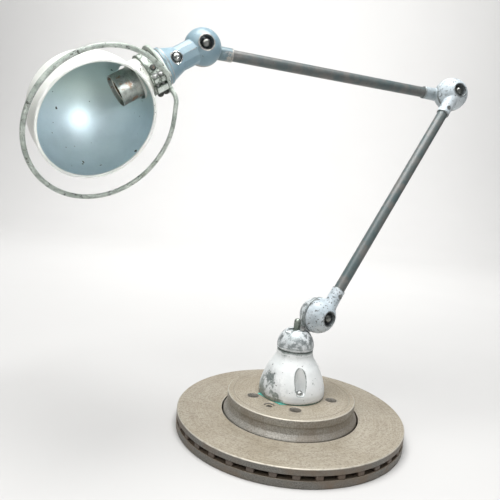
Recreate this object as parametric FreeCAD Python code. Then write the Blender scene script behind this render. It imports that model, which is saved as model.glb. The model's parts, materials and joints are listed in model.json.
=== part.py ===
import FreeCAD, Part
import math
import os

# Desk lamp with a brake-disc foot.  Millimetres, +Z up, origin at the centre of
# the disc's underside.  X runs to the right of the lamp, Y away from its front.

V = FreeCAD.Vector
UP = V(0, 0, 1)

# brake disc
DISC_R = 156.0
DISC_INNER_R = 94.5
DISC_LOW_PLATE = 10.0
DISC_VENT = 6.5
DISC_THICK = 25.0
DISC_VANES = 36
DISC_VANE_W = 9.6
HAT_R = 87.7
HAT_TOP = 50.2
HAT_PLATE = 8.0
HAT_BORE_R = 32.5
WHEEL_BOLTS = 5
WHEEL_PCD = 112.0
WHEEL_HOLE_R = 7.75
WHEEL_PHASE = 200.3
LOCATOR_ANGLE = 236.0
LOCATOR_R = 4.2
LOCATOR_SINK_R = 6.9

# foot
GASKET = 0.8
FOOT_Z = HAT_TOP + GASKET
FOOT_H = 63.4
FOOT_NECK_R = 24.5
FOOT_BASE_R = 45.2
FOOT_BOLTS = 3
FOOT_BOLT_CIRCLE = 38.0
FOOT_BOLT_PHASE = 281.5
NICHE_R = 7.5
NICHE_FLOOR = 12.5
BOLT_R = 2.5
INLET_R = 5.0
INLET_Z = 14.0
TERMINAL_MID = 9.0

# swivel cap
SWIVEL_GAP = 0.3
THRUST_T = 0.8
CAP_Z = FOOT_Z + FOOT_H + THRUST_T + SWIVEL_GAP
CAP_R = 25.2
CAP_DOME_Z = 119.5
CAP_FLAT_Z = 142.0
CAP_SLOT_Z = 138.3
CAP_SLOT_W = 10.4
LOCK_X = 6.6
LOCK_Y = -7.4
STUD_R = 3.0
RUN = 0.05

# knuckles
BALL_R = 25.0
SPLIT = 0.15
ARM_OFFSET = 10.0
SOCKET_R = 9.3
SOCKET_END = 44.5
FLARE_START = 8.0
FLARE_R = 11.2
FLARE_Z = 11.9
FLARE_END = 30.0
SET_SCREW_X = 35.0
SET_SCREW_R = 2.0
RECESS_R = 9.75
RECESS_FLOOR = 15.0
BOSS_R = 6.5
PLATE_R = 19.9
TUBE_R = 7.75
TUBE_BORE_R = 6.25
TUBE_START = 24.0
LEAD_R = 2.4

# how the arms stand
BALL_SIDE = 27.5
BALL_Z = 161.0
KNUCKLE_AZIMUTH = -51.3
LOWER_TILT = 36.3
LOWER_LENGTH = 412.0
LOWER_TWIST = -23.0
ELBOW_TURN = 121.6
UPPER_LENGTH = 400.0
UPPER_TWIST = -5.9
HEAD_TURN = 35.7
SHADE_TURN = -41.0

# head, along the neck axis from the knuckle
NECK_END = 40.0
BELL_END = 64.0
BELL_R = 24.0
SWITCH_X = 47.0
SWITCH_SEAT = 23.6
BEZEL_R = 8.3
BUTTON_R = 5.3
PRESS = 2.0
SPIGOT_R = 23.4
SPIGOT_END = 95.0
HOLDER_R = 20.5
HOLDER_START = 61.5
HOLDER_MOUTH = 134.0
LINER_START = 99.5
LINER_BORE_R = 13.2

# shade
SPOUT_START = 68.0
SPOUT_END = 106.0
SPOUT_BORE_R = SPIGOT_R + 0.06
SPOUT_R = 24.5
SHADE_R = 75.0
SHADE_WALL = 1.2
SHADE_STRAIGHT = 20.0
SHADE_X = 176.6
SHADE_RIM_Z = 40.2
RIM_BEAD_R = 1.9
COLLAR_START = 75.5
COLLAR_END = 93.0
COLLAR_R = 27.3
COLLAR_SLOT = 3.4
LUG_TOP = 33.0
LUG_W = 11.0
CLAMP_BOLT_X = (80.7, 88.5)
CLAMP_BOLT_Z = 29.4
COLLAR_SCREW_X = 84.5
COLLAR_SCREW_TURN = 42.0
FLANGE_START = 71.5
FLANGE_R = 32.5
GUARD_R = 95.4
GUARD_X = 175.0
GUARD_Z = 53.6
GUARD_TILT = 2.1
GUARD_ROD_R = 2.9
GUARD_OPEN = 24.0
GUARD_RUN = 25.5
GUARD_BEND = 9.0


def turned(vector, axis, degrees):
    return FreeCAD.Rotation(axis, degrees).multVec(vector)


def frame(origin, x_axis, z_axis):
    """The placement that carries local X and Z onto the two given directions."""
    y_axis = z_axis.cross(x_axis)
    return FreeCAD.Placement(FreeCAD.Matrix(
        x_axis.x, y_axis.x, z_axis.x, origin.x,
        x_axis.y, y_axis.y, z_axis.y, origin.y,
        x_axis.z, y_axis.z, z_axis.z, origin.z,
        0, 0, 0, 1))


def put(shape, placement):
    moved = shape.copy()
    moved.Placement = placement.multiply(moved.Placement)
    return moved


def rod(radius, start, end):
    """A round bar from one point to another."""
    return Part.makeCylinder(radius, (end - start).Length, start, end - start)


def upright(radius, low, high, x=0.0, y=0.0):
    return rod(radius, V(x, y, low), V(x, y, high))


def washer(inner, outer, low, high, x=0.0, y=0.0):
    return upright(outer, low, high, x, y).cut(upright(inner, low - 1, high + 1, x, y))


def along(radius, start, end, z=0.0, y=0.0):
    """A round bar along local X."""
    return rod(radius, V(start, y, z), V(end, y, z))


def block(x0, x1, y0, y1, z0, z1):
    return Part.makeBox(x1 - x0, y1 - y0, z1 - z0, V(x0, y0, z0))


def spun(points):
    """A closed outline of (radius, height) points, spun about Z."""
    wire = Part.makePolygon([V(r, 0, z) for r, z in points + points[:1]])
    return Part.Face(wire).revolve(V(0, 0, 0), UP, 360)


def spun_x(points):
    """A closed outline of (distance along X, radius) points, spun about X."""
    wire = Part.makePolygon([V(x, 0, r) for x, r in points + points[:1]])
    return Part.Face(wire).revolve(V(0, 0, 0), V(1, 0, 0), 360)


def hexagon(across, low, high, x=0.0, y=0.0):
    corner = across / 2 / math.cos(math.pi / 6)
    points = [
        V(x + corner * math.cos(k * math.pi / 3), y + corner * math.sin(k * math.pi / 3), low)
        for k in range(7)]
    return Part.Face(Part.makePolygon(points)).extrude(V(0, 0, high - low))


def fuse(shapes):
    return shapes[0].multiFuse(shapes[1:]).removeSplitter()


def around(count, phase, radius):
    """Points evenly spaced on a circle."""
    for k in range(count):
        angle = math.radians(phase + 360.0 * k / count)
        yield radius * math.cos(angle), radius * math.sin(angle)


# the chain of directions and centres, from the foot to the shade
lower_axis = V(math.cos(math.radians(KNUCKLE_AZIMUTH)), math.sin(math.radians(KNUCKLE_AZIMUTH)), 0)
lean = UP.cross(lower_axis)
lower_ball = lower_axis * ARM_OFFSET + lean * BALL_SIDE + UP * BALL_Z
lower_dir = turned(UP, lower_axis, -LOWER_TILT)
elbow_axis = turned(lower_axis, lower_dir, LOWER_TWIST)
elbow_ball = lower_ball + (lower_axis - elbow_axis) * ARM_OFFSET + lower_dir * LOWER_LENGTH
upper_dir = turned(lower_dir, elbow_axis, ELBOW_TURN)
head_axis = turned(elbow_axis, upper_dir, UPPER_TWIST)
head_ball = elbow_ball + (head_axis - elbow_axis) * ARM_OFFSET + upper_dir * UPPER_LENGTH
neck_dir = turned(upper_dir, head_axis, HEAD_TURN)
shade_dir = turned(head_axis, neck_dir, SHADE_TURN)
neck_root = head_ball + head_axis * ARM_OFFSET

cap_centre = UP * CAP_DOME_Z
cap_neck = cap_centre - (lean * BALL_SIDE + UP * BALL_Z)
AT_CAP = frame(lower_ball, cap_neck * (1 / cap_neck.Length), lower_axis)
AT_LOWER = frame(lower_ball, lower_dir, lower_axis)
AT_ELBOW_LOWER = frame(elbow_ball, lower_dir * -1, elbow_axis)
AT_ELBOW_UPPER = frame(elbow_ball, upper_dir, elbow_axis)
AT_HEAD_UPPER = frame(head_ball, upper_dir * -1, head_axis)
AT_HEAD = frame(head_ball, neck_dir, head_axis)
AT_SHADE = frame(neck_root, neck_dir, shade_dir)
CAP_TURN = frame(V(0, 0, 0), lean, UP)
COLLAR_SCREW = frame(V(COLLAR_SCREW_X, 0, 0), V(1, 0, 0), turned(UP, V(1, 0, 0), COLLAR_SCREW_TURN))


def brake_disc():
    top_plate = DISC_LOW_PLATE + DISC_VENT
    bevel = 1.0
    body = spun([
        (HAT_BORE_R, HAT_TOP), (HAT_BORE_R, HAT_TOP - HAT_PLATE), (74, HAT_TOP - HAT_PLATE),
        (79, HAT_TOP - HAT_PLATE - 5), (80.5, 1.5), (DISC_INNER_R + 3, 1.5),
        (DISC_INNER_R + 4, 0), (DISC_R - bevel, 0), (DISC_R, bevel), (DISC_R, DISC_LOW_PLATE),
        (92.3, DISC_LOW_PLATE), (92.3, 24.6), (91.2, 26.4), (87.8, 31), (86.6, 38.6),
        (HAT_R, 40.4), (HAT_R, HAT_TOP - bevel), (HAT_R - bevel, HAT_TOP)])
    upper = spun([
        (DISC_INNER_R, top_plate), (DISC_R, top_plate), (DISC_R, DISC_THICK - bevel),
        (DISC_R - bevel, DISC_THICK), (DISC_INNER_R + bevel, DISC_THICK),
        (DISC_INNER_R, DISC_THICK - bevel)])
    vane = block(DISC_INNER_R + 3, DISC_R - 0.6, -DISC_VANE_W / 2, DISC_VANE_W / 2,
                 DISC_LOW_PLATE, top_plate)
    vanes = []
    for k in range(DISC_VANES):
        turn = FreeCAD.Placement(V(0, 0, 0), FreeCAD.Rotation(UP, 360.0 * k / DISC_VANES))
        vanes.append(put(vane, turn))
    disc = body.multiFuse([upper] + vanes)
    cuts = [washer(79.4, 80.6, HAT_TOP - 0.5, HAT_TOP + 1)]
    for x, y in around(WHEEL_BOLTS, WHEEL_PHASE, WHEEL_PCD / 2):
        cuts.append(upright(WHEEL_HOLE_R, 30, 60, x, y))
    for x, y in around(1, LOCATOR_ANGLE, WHEEL_PCD / 2):
        cuts.append(upright(LOCATOR_R, 30, 60, x, y))
        cuts.append(upright(LOCATOR_SINK_R, HAT_TOP - 2.5, 60, x, y))
    for x, y in around(FOOT_BOLTS, FOOT_BOLT_PHASE, FOOT_BOLT_CIRCLE):
        cuts.append(upright(BOLT_R + 0.3, 30, 60, x, y))
    return disc.cut(cuts)


def foot_gasket():
    """A hand-cut sheet under the foot, with one straight edge that sticks out."""
    corner = [V(-46.6, -13.5, HAT_TOP), V(-17.5, -44.6, HAT_TOP), V(-8, -43, HAT_TOP),
              V(-40, -8, HAT_TOP)]
    tab = Part.Face(Part.makePolygon(corner + corner[:1])).extrude(V(0, 0, GASKET))
    sheet = fuse([upright(FOOT_BASE_R - 1.6, HAT_TOP, FOOT_Z), tab])
    cuts = [upright(HAT_BORE_R - 2, 0, 90)]
    for x, y in around(FOOT_BOLTS, FOOT_BOLT_PHASE, FOOT_BOLT_CIRCLE):
        cuts.append(upright(BOLT_R + 0.1, 0, 90, x, y))
    return sheet.cut(cuts)


def foot():
    """The bell-shaped foot: a spun skin with three bolt pockets and a cable hole."""
    skin = Part.BSplineCurve()
    skin.interpolate([V(r, 0, FOOT_Z + z) for r, z in (
        (FOOT_BASE_R, 4.0), (44.6, 12), (41.2, 24.5), (34.8, 39), (29.6, 47), (25.7, 54), (24.6, 59.5))])
    bottom = V(44.0, 0, FOOT_Z)
    top = V(FOOT_NECK_R, 0, FOOT_Z + FOOT_H)
    start = skin.StartPoint
    end = skin.EndPoint
    centre_low = V(0, 0, FOOT_Z)
    centre_high = V(0, 0, FOOT_Z + FOOT_H)
    outline = Part.Wire([
        Part.makeLine(centre_low, bottom), Part.makeLine(bottom, start), skin.toShape(),
        Part.makeLine(end, top), Part.makeLine(top, centre_high),
        Part.makeLine(centre_high, centre_low)])
    solid = Part.Face(outline).revolve(V(0, 0, 0), UP, 360)
    hollow = spun([
        (0, FOOT_Z - 1), (39.5, FOOT_Z - 1), (39.5, FOOT_Z + 10), (36.5, FOOT_Z + 24),
        (29, FOOT_Z + 39), (20, FOOT_Z + 51.5), (0, FOOT_Z + 51.5)])
    pockets = []
    for x, y in around(FOOT_BOLTS, FOOT_BOLT_PHASE, FOOT_BOLT_CIRCLE):
        hollow = hollow.cut(upright(NICHE_R + 2.5, FOOT_Z - 2, FOOT_Z + 60, x, y))
        pockets.append(upright(NICHE_R, FOOT_Z + NICHE_FLOOR, FOOT_Z + 60, x, y))
        pockets.append(upright(BOLT_R + 0.1, FOOT_Z - 1, FOOT_Z + 60, x, y))
    inlet = rod(INLET_R, V(0, 30, FOOT_Z + INLET_Z), V(0, 60, FOOT_Z + INLET_Z))
    shaft = upright(STUD_R + RUN, FOOT_Z, FOOT_Z + 80)
    return solid.cut([hollow, inlet, shaft] + pockets)


def foot_bolts():
    bolts = []
    for x, y in around(FOOT_BOLTS, FOOT_BOLT_PHASE, FOOT_BOLT_CIRCLE):
        seat = FOOT_Z + NICHE_FLOOR
        head = upright(4.6, seat, seat + 2.6, x, y)
        dome = Part.makeSphere(5.4, V(x, y, seat)).common(upright(4.6, seat, seat + 6, x, y))
        shank = upright(BOLT_R, HAT_TOP - HAT_PLATE - 9, seat, x, y)
        drive = block(x - 3.4, x + 3.4, y - 0.5, y + 0.5, seat + 3.6, seat + 7)
        bolts.append(fuse([head, dome, shank]).cut(drive))
    return Part.Compound(bolts)


def foot_nuts():
    """A washer and a nut under the hat for each foot bolt."""
    face = HAT_TOP - HAT_PLATE
    nut_top = face - 1.2
    pieces = []
    for x, y in around(FOOT_BOLTS, FOOT_BOLT_PHASE, FOOT_BOLT_CIRCLE):
        pieces.append(washer(BOLT_R, 6.0, nut_top, face, x, y))
        nut = hexagon(8.0, nut_top - 4.2, nut_top, x, y)
        pieces.append(nut.cut(upright(BOLT_R, 0, 60, x, y)))
    return Part.Compound(pieces)


def inlet_bush():
    """The insulating bush that the supply cable would enter by, at the back."""
    z = FOOT_Z + INLET_Z
    sleeve = rod(INLET_R, V(0, 37.5, z), V(0, 46, z))
    collar = rod(7.0, V(0, 44.8, z), V(0, 47.4, z))
    bore = rod(3.4, V(0, 30, z), V(0, 60, z))
    return fuse([sleeve, collar]).cut([bore, foot()])


def terminal_block():
    """Three-way block with its wire ways and clamping screws."""
    z = FOOT_Z + TERMINAL_MID
    body = block(-14, 14, 6, 20, z - 7, z + 7)
    holes = []
    screws = []
    for x in (-8.5, 0, 8.5):
        holes.append(rod(2.0, V(x, 0, z - 1), V(x, 30, z - 1)))
        holes.append(upright(1.6, z - 1, z + 10, x, 13))
        screws.append(upright(1.6, z + 1.6, z + 6, x, 13))
    return Part.Compound([body.cut(holes)] + screws)


def block_bracket():
    """A strip between two of the foot's bolt bosses, under the terminal block."""
    top = FOOT_Z + TERMINAL_MID - 7
    strip = block(-34, 34, 8, 20, top - 1.2, top).cut(foot())
    return max(strip.Solids, key=lambda solid: solid.Volume)


def thrust_washer():
    return washer(STUD_R + 0.3, 20, FOOT_Z + FOOT_H, FOOT_Z + FOOT_H + THRUST_T)


def half_ball(bore):
    """The front half of a knuckle, its axis on Z and its joint face at Z = SPLIT."""
    ball = Part.makeSphere(BALL_R).common(upright(BALL_R + 1, SPLIT, BALL_R + 1))
    return ball, half_ball_hollow(bore)


def half_ball_hollow(bore):
    ring = spun([
        (BOSS_R, -1), (20, -1), (20, 7), (16, 12), (BOSS_R, 12)])
    return fuse([
        ring, upright(BOSS_R + 1, -1, 1), upright(bore, -1, BALL_R + 1),
        upright(RECESS_R, RECESS_FLOOR, BALL_R + 1)])


def ring_wire(radius, x, z):
    """A circle across X, one end of a loft."""
    return Part.Wire(Part.makeCircle(radius, V(x, 0, z), V(1, 0, 0)))


def arm_shell(bore):
    """Half a knuckle with the socket for an arm tube along +X."""
    ball, hollow = half_ball(bore)
    flare = Part.makeLoft(
        [ring_wire(FLARE_R, FLARE_START, FLARE_Z), ring_wire(SOCKET_R, FLARE_END, ARM_OFFSET)], True, True)
    lip = 1.0
    socket = spun_x([(FLARE_END, 0), (FLARE_END, SOCKET_R), (SOCKET_END - lip, SOCKET_R),
                     (SOCKET_END, SOCKET_R - 0.8), (SOCKET_END, 0)])
    socket.translate(V(0, 0, ARM_OFFSET))
    tube_bore = along(TUBE_R, TUBE_START, SOCKET_END + 1, ARM_OFFSET)
    wire_way = along(LEAD_R + 0.8, 12, TUBE_START + 1, ARM_OFFSET)
    screw_way = rod(SET_SCREW_R, V(SET_SCREW_X, 0, ARM_OFFSET), V(SET_SCREW_X, 0, ARM_OFFSET + 20))
    return fuse([ball, flare, socket]).cut([hollow, tube_bore, wire_way, screw_way])


def flipped(shape):
    """The same piece on the back side of the joint face."""
    return shape.mirror(V(0, 0, 0), UP)


def swivel_cap():
    """Dome, neck and the back half of the lower knuckle, in one casting."""
    back_ball, hollow = half_ball(STUD_R + RUN)
    reach = cap_neck.Length - 7
    neck = along(8.0, 14, reach, ARM_OFFSET)
    web = block(15, reach, -4, 9.5, ARM_OFFSET - 4, ARM_OFFSET + 4)
    arm = put(flipped(fuse([back_ball, neck, web])), AT_CAP)
    dome = Part.makeSphere(CAP_R, cap_centre).common(upright(CAP_R, CAP_DOME_Z, CAP_FLAT_Z))
    skirt = upright(CAP_R, CAP_Z, CAP_DOME_Z)
    slot = put(block(-30, 12, -CAP_SLOT_W / 2, CAP_SLOT_W / 2, CAP_SLOT_Z, CAP_SLOT_Z + 9), CAP_TURN)
    nut_room = upright(CAP_SLOT_W / 2, CAP_SLOT_Z, CAP_SLOT_Z + 24)
    under = washer(9, 20, CAP_Z - 1, CAP_DOME_Z + 9)
    body = fuse([dome, skirt]).cut([slot, under])
    return fuse([body, arm]).cut([
        put(flipped(hollow), AT_CAP), upright(STUD_R, CAP_Z - 1, 160), nut_room, lock_screw_hole()])


def swivel_stud():
    return upright(STUD_R, FOOT_Z + 42, 149)


def swivel_nut():
    """The domed nut on top of the cap."""
    top = 152.0
    body = hexagon(8.4, CAP_SLOT_Z, CAP_SLOT_Z + 4.5)
    dome = Part.makeSphere(4.8, V(0, 0, top))
    column = upright(4.8, CAP_SLOT_Z + 1, top)
    return fuse([body, column, dome]).cut(upright(STUD_R, 100, 149))


def swivel_lock_nuts():
    """Spring washer and nut that hold the cap down from inside the foot."""
    plate = FOOT_Z + 51.5
    disc = washer(STUD_R, 8.0, plate - SWIVEL_GAP - 1.4, plate - SWIVEL_GAP)
    nut = hexagon(10.0, plate - SWIVEL_GAP - 6.4, plate - SWIVEL_GAP - 1.4).cut(upright(STUD_R, 0, 200))
    return Part.Compound([disc, nut])


def lock_screw_hole():
    hole = upright(1.5, CAP_DOME_Z + 12, CAP_FLAT_Z + 1, LOCK_X, LOCK_Y)
    return hole.fuse(upright(4.0, CAP_FLAT_Z, CAP_FLAT_Z + 8, LOCK_X, LOCK_Y))


def cap_lock_screw():
    """The small hexagon-headed screw that pinches the cap's stud."""
    seat = CAP_FLAT_Z
    head = hexagon(6.4, seat, 148, LOCK_X, LOCK_Y)
    return fuse([head, upright(1.5, CAP_DOME_Z + 12, seat, LOCK_X, LOCK_Y)])


def ring_plate():
    """Insulating disc that carries the contact rings, in the back half."""
    return washer(7.0, PLATE_R, -4.4, -1.2)


def contact_rings():
    return Part.Compound([washer(8.6, 11.4, -1.2, -0.5), washer(14.2, 17.2, -1.2, -0.5)])


def brush_plate():
    plate = washer(7.0, PLATE_R, 2.2, 5.4)
    return plate.cut([upright(1.4, 0, 9, x, y) for x, y in brush_places()])


def brush_places():
    return [(10.0, 0.0), (-15.7, 0.0)]


def contact_brushes():
    """Spring-loaded pins, drawn just off the rings."""
    pins = []
    for x, y in brush_places():
        pins.append(fuse([upright(1.4, 0.4, 6.6, x, y), upright(2.2, 5.4, 6.6, x, y)]))
    return Part.Compound(pins)


def friction_washer():
    return washer(STUD_R + RUN, BOSS_R - 0.3, -1.0, 0.7)


def knuckle_bolt():
    """Domed bolt in the front recess, threaded through to the back."""
    dome = Part.makeSphere(6.6, V(0, 0, RECESS_FLOOR + 1)).common(upright(6.0, RECESS_FLOOR, BALL_R))
    flange = upright(7.2, RECESS_FLOOR, RECESS_FLOOR + 1.4)
    return fuse([dome, flange, upright(STUD_R, -22.6, RECESS_FLOOR)])


def knuckle_nut():
    """Spring washer and nut in the back recess."""
    floor = -RECESS_FLOOR - SWIVEL_GAP
    spring = washer(STUD_R, 7.0, floor - 1.3, floor)
    nut = hexagon(10.0, floor - 6.3, floor - 1.3).cut(upright(STUD_R, -30, 0))
    return Part.Compound([spring, nut])


def arm_tube(length):
    """The tube between two knuckles, along +X at the arm's offset."""
    outer = along(TUBE_R, TUBE_START, length - TUBE_START, ARM_OFFSET)
    return outer.cut(along(TUBE_BORE_R, 0, length, ARM_OFFSET))


def arm_lead(length):
    """The insulated pair inside an arm."""
    return along(LEAD_R, 13, length - 13, ARM_OFFSET)


def set_screw():
    """Slotted grub screw that holds the tube in its socket."""
    low = ARM_OFFSET + TUBE_R + 0.05
    top = ARM_OFFSET + SOCKET_R - 0.1
    body = rod(SET_SCREW_R, V(SET_SCREW_X, 0, low), V(SET_SCREW_X, 0, top))
    slot = block(SET_SCREW_X - 0.4, SET_SCREW_X + 0.4, -3, 3, top - 0.8, top + 1)
    return body.cut(slot)


def neck_section(x, points):
    """A closed faceted outline across the neck, mirrored about its crease."""
    right = [V(x, y, z) for y, z in points]
    left = [V(x, -y, z) for y, z in reversed(points) if y]
    return Part.makePolygon(right + left + right[:1])


def head_casting():
    """Front half of the head knuckle, faceted neck, bell and the shade's spigot, in one casting."""
    ball, hollow = half_ball(STUD_R)
    slim = [(0, 21.2), (8.5, 18.2), (14.6, 12.8), (16.5, 7.0), (15.6, 1.4), (9, 0.6)]
    round_end = []
    for degrees, radius in ((0, BELL_R + 1.0), (30, BELL_R), (62, BELL_R), (90, BELL_R),
                            (125, BELL_R), (158, BELL_R)):
        angle = math.radians(degrees)
        round_end.append((radius * math.sin(angle), ARM_OFFSET + radius * math.cos(angle)))
    straight = Part.makeLoft([neck_section(10, slim), neck_section(NECK_END, slim)], True, True)
    bell = Part.makeLoft([neck_section(NECK_END, slim), neck_section(BELL_END, round_end)], True, True)
    rim = along(BELL_R + 0.4, BELL_END - 3, BELL_END + 2, ARM_OFFSET)
    spigot = along(SPIGOT_R, BELL_END, SPIGOT_END, ARM_OFFSET)
    bore = along(HOLDER_R + 0.1, HOLDER_START - 0.1, SPIGOT_END + 1, ARM_OFFSET)
    wire_way = along(5.0, 12, BELL_END, ARM_OFFSET)
    seat = upright(BEZEL_R + 0.2, SWITCH_SEAT, 50, SWITCH_X)
    well = upright(7.1, 5.5, 50, SWITCH_X)
    return fuse([ball, straight, bell, rim, spigot]).cut([hollow, bore, wire_way, seat, well])


def switch_body():
    cup = upright(7.0, 5.6, SWITCH_SEAT, SWITCH_X)
    return cup.cut(upright(BUTTON_R + 0.3, 14, SWITCH_SEAT + 1, SWITCH_X))


def switch_bezel():
    low = spun([(BUTTON_R + 0.3, SWITCH_SEAT), (BEZEL_R, SWITCH_SEAT), (BEZEL_R, SWITCH_SEAT + 1.6),
                (BEZEL_R - 1.0, SWITCH_SEAT + 2.8), (BUTTON_R + 0.9, SWITCH_SEAT + 2.8),
                (BUTTON_R + 0.3, SWITCH_SEAT + 2.2)])
    low.translate(V(SWITCH_X, 0, 0))
    return low


def switch_button():
    bulge = 7.0
    crown = SWITCH_SEAT + 3.2
    dome = Part.makeSphere(bulge, V(SWITCH_X, 0, crown + 2.6 - bulge))
    shank = upright(BUTTON_R, SWITCH_SEAT - 4, SWITCH_SEAT + 6, SWITCH_X)
    return shank.common(dome.fuse(upright(BUTTON_R + 1, SWITCH_SEAT - 4, crown, SWITCH_X)))


def switch_spring():
    """Coil spring, at the length it has with the button pressed."""
    turns = 2
    steps = 12
    coil_r = 3.6
    low = 14.5
    length = SWITCH_SEAT - 4 - PRESS - 0.7 - low
    points = []
    for k in range(turns * steps + 1):
        angle = 2 * math.pi * k / steps
        height = low + length * k / (turns * steps)
        points.append(V(coil_r * math.cos(angle), coil_r * math.sin(angle), height))
    path = Part.BSplineCurve()
    path.interpolate(points)
    section = Part.Wire(Part.makeCircle(0.45, points[0], path.tangent(path.FirstParameter)[0]))
    coil = Part.Wire(path.toShape()).makePipeShell([section], True, False)
    coil.translate(V(SWITCH_X, 0, 0))
    return coil


def holder_shell():
    """The metal lampholder tube, from the bell to its open mouth in the shade."""
    outer = along(HOLDER_R, HOLDER_START, HOLDER_MOUTH)
    bore = along(HOLDER_R - 1.6, HOLDER_START + 2, HOLDER_MOUTH + 1)
    lead_hole = along(4.0, HOLDER_START - 1, HOLDER_START + 3)
    return outer.cut([bore, lead_hole])


def holder_core():
    """Ceramic core that carries the thread liner."""
    outer = along(HOLDER_R - 1.7, 84, HOLDER_MOUTH - 4)
    return outer.cut([along(14.2, 96, HOLDER_MOUTH), along(2.5, 80, 100)])


def thread_liner():
    return along(14.1, LINER_START, HOLDER_MOUTH - 5).cut(along(LINER_BORE_R, 95, HOLDER_MOUTH))


def centre_contact():
    stem = along(2.4, 82, 98)
    return fuse([stem, along(4.0, 97, 99)])


def shade():
    """Deep bowl that opens along +Z, with a rolled rim and the spout on its side."""
    base = SHADE_RIM_Z - SHADE_STRAIGHT
    inner = SHADE_R - SHADE_WALL

    def solid(radius, top):
        ball = Part.makeSphere(radius, V(SHADE_X, 0, base)).common(
            upright(radius + 1, base - radius - 1, base, SHADE_X))
        return fuse([ball, upright(radius, base, top, SHADE_X)])

    bowl = solid(SHADE_R, SHADE_RIM_Z).cut(solid(inner, SHADE_RIM_Z + 5))
    bead = Part.makeTorus(SHADE_R - 0.4, RIM_BEAD_R, V(SHADE_X, 0, SHADE_RIM_Z))
    spout = along(SPOUT_R, SPOUT_START, SPOUT_END)
    return fuse([bowl, bead, spout]).cut(along(SPOUT_BORE_R, SPOUT_START - 1, SPOUT_END + 12))


def clamp_collar():
    """Split collar round the spout, with two pinch lugs on the open side."""
    ring = along(COLLAR_R, COLLAR_START, COLLAR_END)
    lugs = block(COLLAR_START, COLLAR_END, -LUG_W, LUG_W, 10, LUG_TOP)
    slit = block(COLLAR_START - 1, COLLAR_END + 1, -COLLAR_SLOT / 2, COLLAR_SLOT / 2, 0, LUG_TOP + 1)
    holes = [
        rod(2.1, V(x, -30, CLAMP_BOLT_Z), V(x, 30, CLAMP_BOLT_Z)) for x in CLAMP_BOLT_X]
    body = fuse([ring, lugs]).cut([slit, along(SPOUT_R, 0, 200), collar_screw_hole()] + holes)
    return body


def collar_screw_hole():
    return put(upright(2.6, SPOUT_R, 40), COLLAR_SCREW)


def collar_screw():
    body = upright(2.6, SPOUT_R, COLLAR_R + 0.2)
    head = upright(3.8, COLLAR_R, COLLAR_R + 2.0)
    slot = block(-5, 5, -0.6, 0.6, COLLAR_R + 1, COLLAR_R + 3)
    return put(fuse([body, head]).cut(slot), COLLAR_SCREW)


def clamp_bolts():
    bolts = []
    for x in CLAMP_BOLT_X:
        shank = rod(2.0, V(x, -LUG_W, CLAMP_BOLT_Z), V(x, LUG_W + 6.5, CLAMP_BOLT_Z))
        head = rod(3.6, V(x, -LUG_W - 3.4, CLAMP_BOLT_Z), V(x, -LUG_W, CLAMP_BOLT_Z))
        slot = block(x - 5, x + 5, -LUG_W - 4, -LUG_W - 2.4, CLAMP_BOLT_Z - 0.5, CLAMP_BOLT_Z + 0.5)
        bolts.append(fuse([shank, head]).cut(slot))
    return Part.Compound(bolts)


def clamp_nuts():
    """Round dark nuts on the lower ends of the clamp bolts."""
    nuts = []
    for x in CLAMP_BOLT_X:
        low = V(x, LUG_W, CLAMP_BOLT_Z)
        nut = rod(4.0, low, V(x, LUG_W + 5.5, CLAMP_BOLT_Z))
        nuts.append(nut.cut(rod(2.0, V(x, 0, CLAMP_BOLT_Z), V(x, 40, CLAMP_BOLT_Z))))
    return Part.Compound(nuts)


def rounded_path(points, radii):
    """Straight runs joined by tangent arcs of the given radii."""
    edges = []
    last = points[0]
    for before, corner, after, radius in zip(points, points[1:], points[2:], radii):
        back = (before - corner).normalize()
        on = (after - corner).normalize()
        half = back.getAngle(on) / 2
        reach = radius / math.tan(half)
        middle = corner + (back + on).normalize() * (radius / math.sin(half) - radius)
        start = corner + back * reach
        end = corner + on * reach
        edges.append(Part.makeLine(last, start))
        edges.append(Part.Arc(start, middle, end).toShape())
        last = end
    edges.append(Part.makeLine(last, points[-1]))
    return edges


def guard_point(degrees):
    """A point on the guard's circle, counted from the side nearest the head."""
    angle = math.radians(degrees)
    tilt = math.radians(GUARD_TILT)
    across = GUARD_R * math.cos(angle)
    return V(GUARD_X - across * math.cos(tilt), -GUARD_R * math.sin(angle),
             GUARD_Z - across * math.sin(tilt))


def guard_tangent(degrees, way):
    angle = math.radians(degrees)
    tilt = math.radians(GUARD_TILT)
    across = math.sin(angle)
    return V(across * math.cos(tilt), -math.cos(angle), across * math.sin(tilt)) * way


def guard_ring():
    """Rod bent to a circle in front of the rim, its two ends welded to a disc on the spout."""
    start = guard_point(GUARD_OPEN)
    stop = guard_point(360 - GUARD_OPEN)
    circle = Part.Arc(start, guard_point(180), stop).toShape()
    knee = start + guard_tangent(GUARD_OPEN, -1) * GUARD_RUN
    far_knee = stop + guard_tangent(360 - GUARD_OPEN, 1) * GUARD_RUN
    foot_point = V(73.5, -14.5, 29.5)
    far_foot = V(73.5, 14.5, 29.5)
    first = rounded_path([foot_point, knee, start], [GUARD_BEND])
    last = rounded_path([stop, far_knee, far_foot], [GUARD_BEND])
    path = Part.Wire(first + [circle] + last)
    section = Part.Wire(Part.makeCircle(GUARD_ROD_R, foot_point, knee - foot_point))
    bar = path.makePipeShell([section], True, False)
    plate = along(FLANGE_R, FLANGE_START, COLLAR_START).cut(along(SPOUT_R, 0, 200))
    return fuse([plate, bar])


def save(name, shape):
    solids = len(shape.Solids)
    box = shape.BoundBox
    print(f"{name:22s} solids {solids} volume {shape.Volume:10.0f} valid {shape.isValid()} "
          f"z {box.ZMin:.1f}..{box.ZMax:.1f}")
    shape.exportStep(f"parts/{name}.step")


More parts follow.
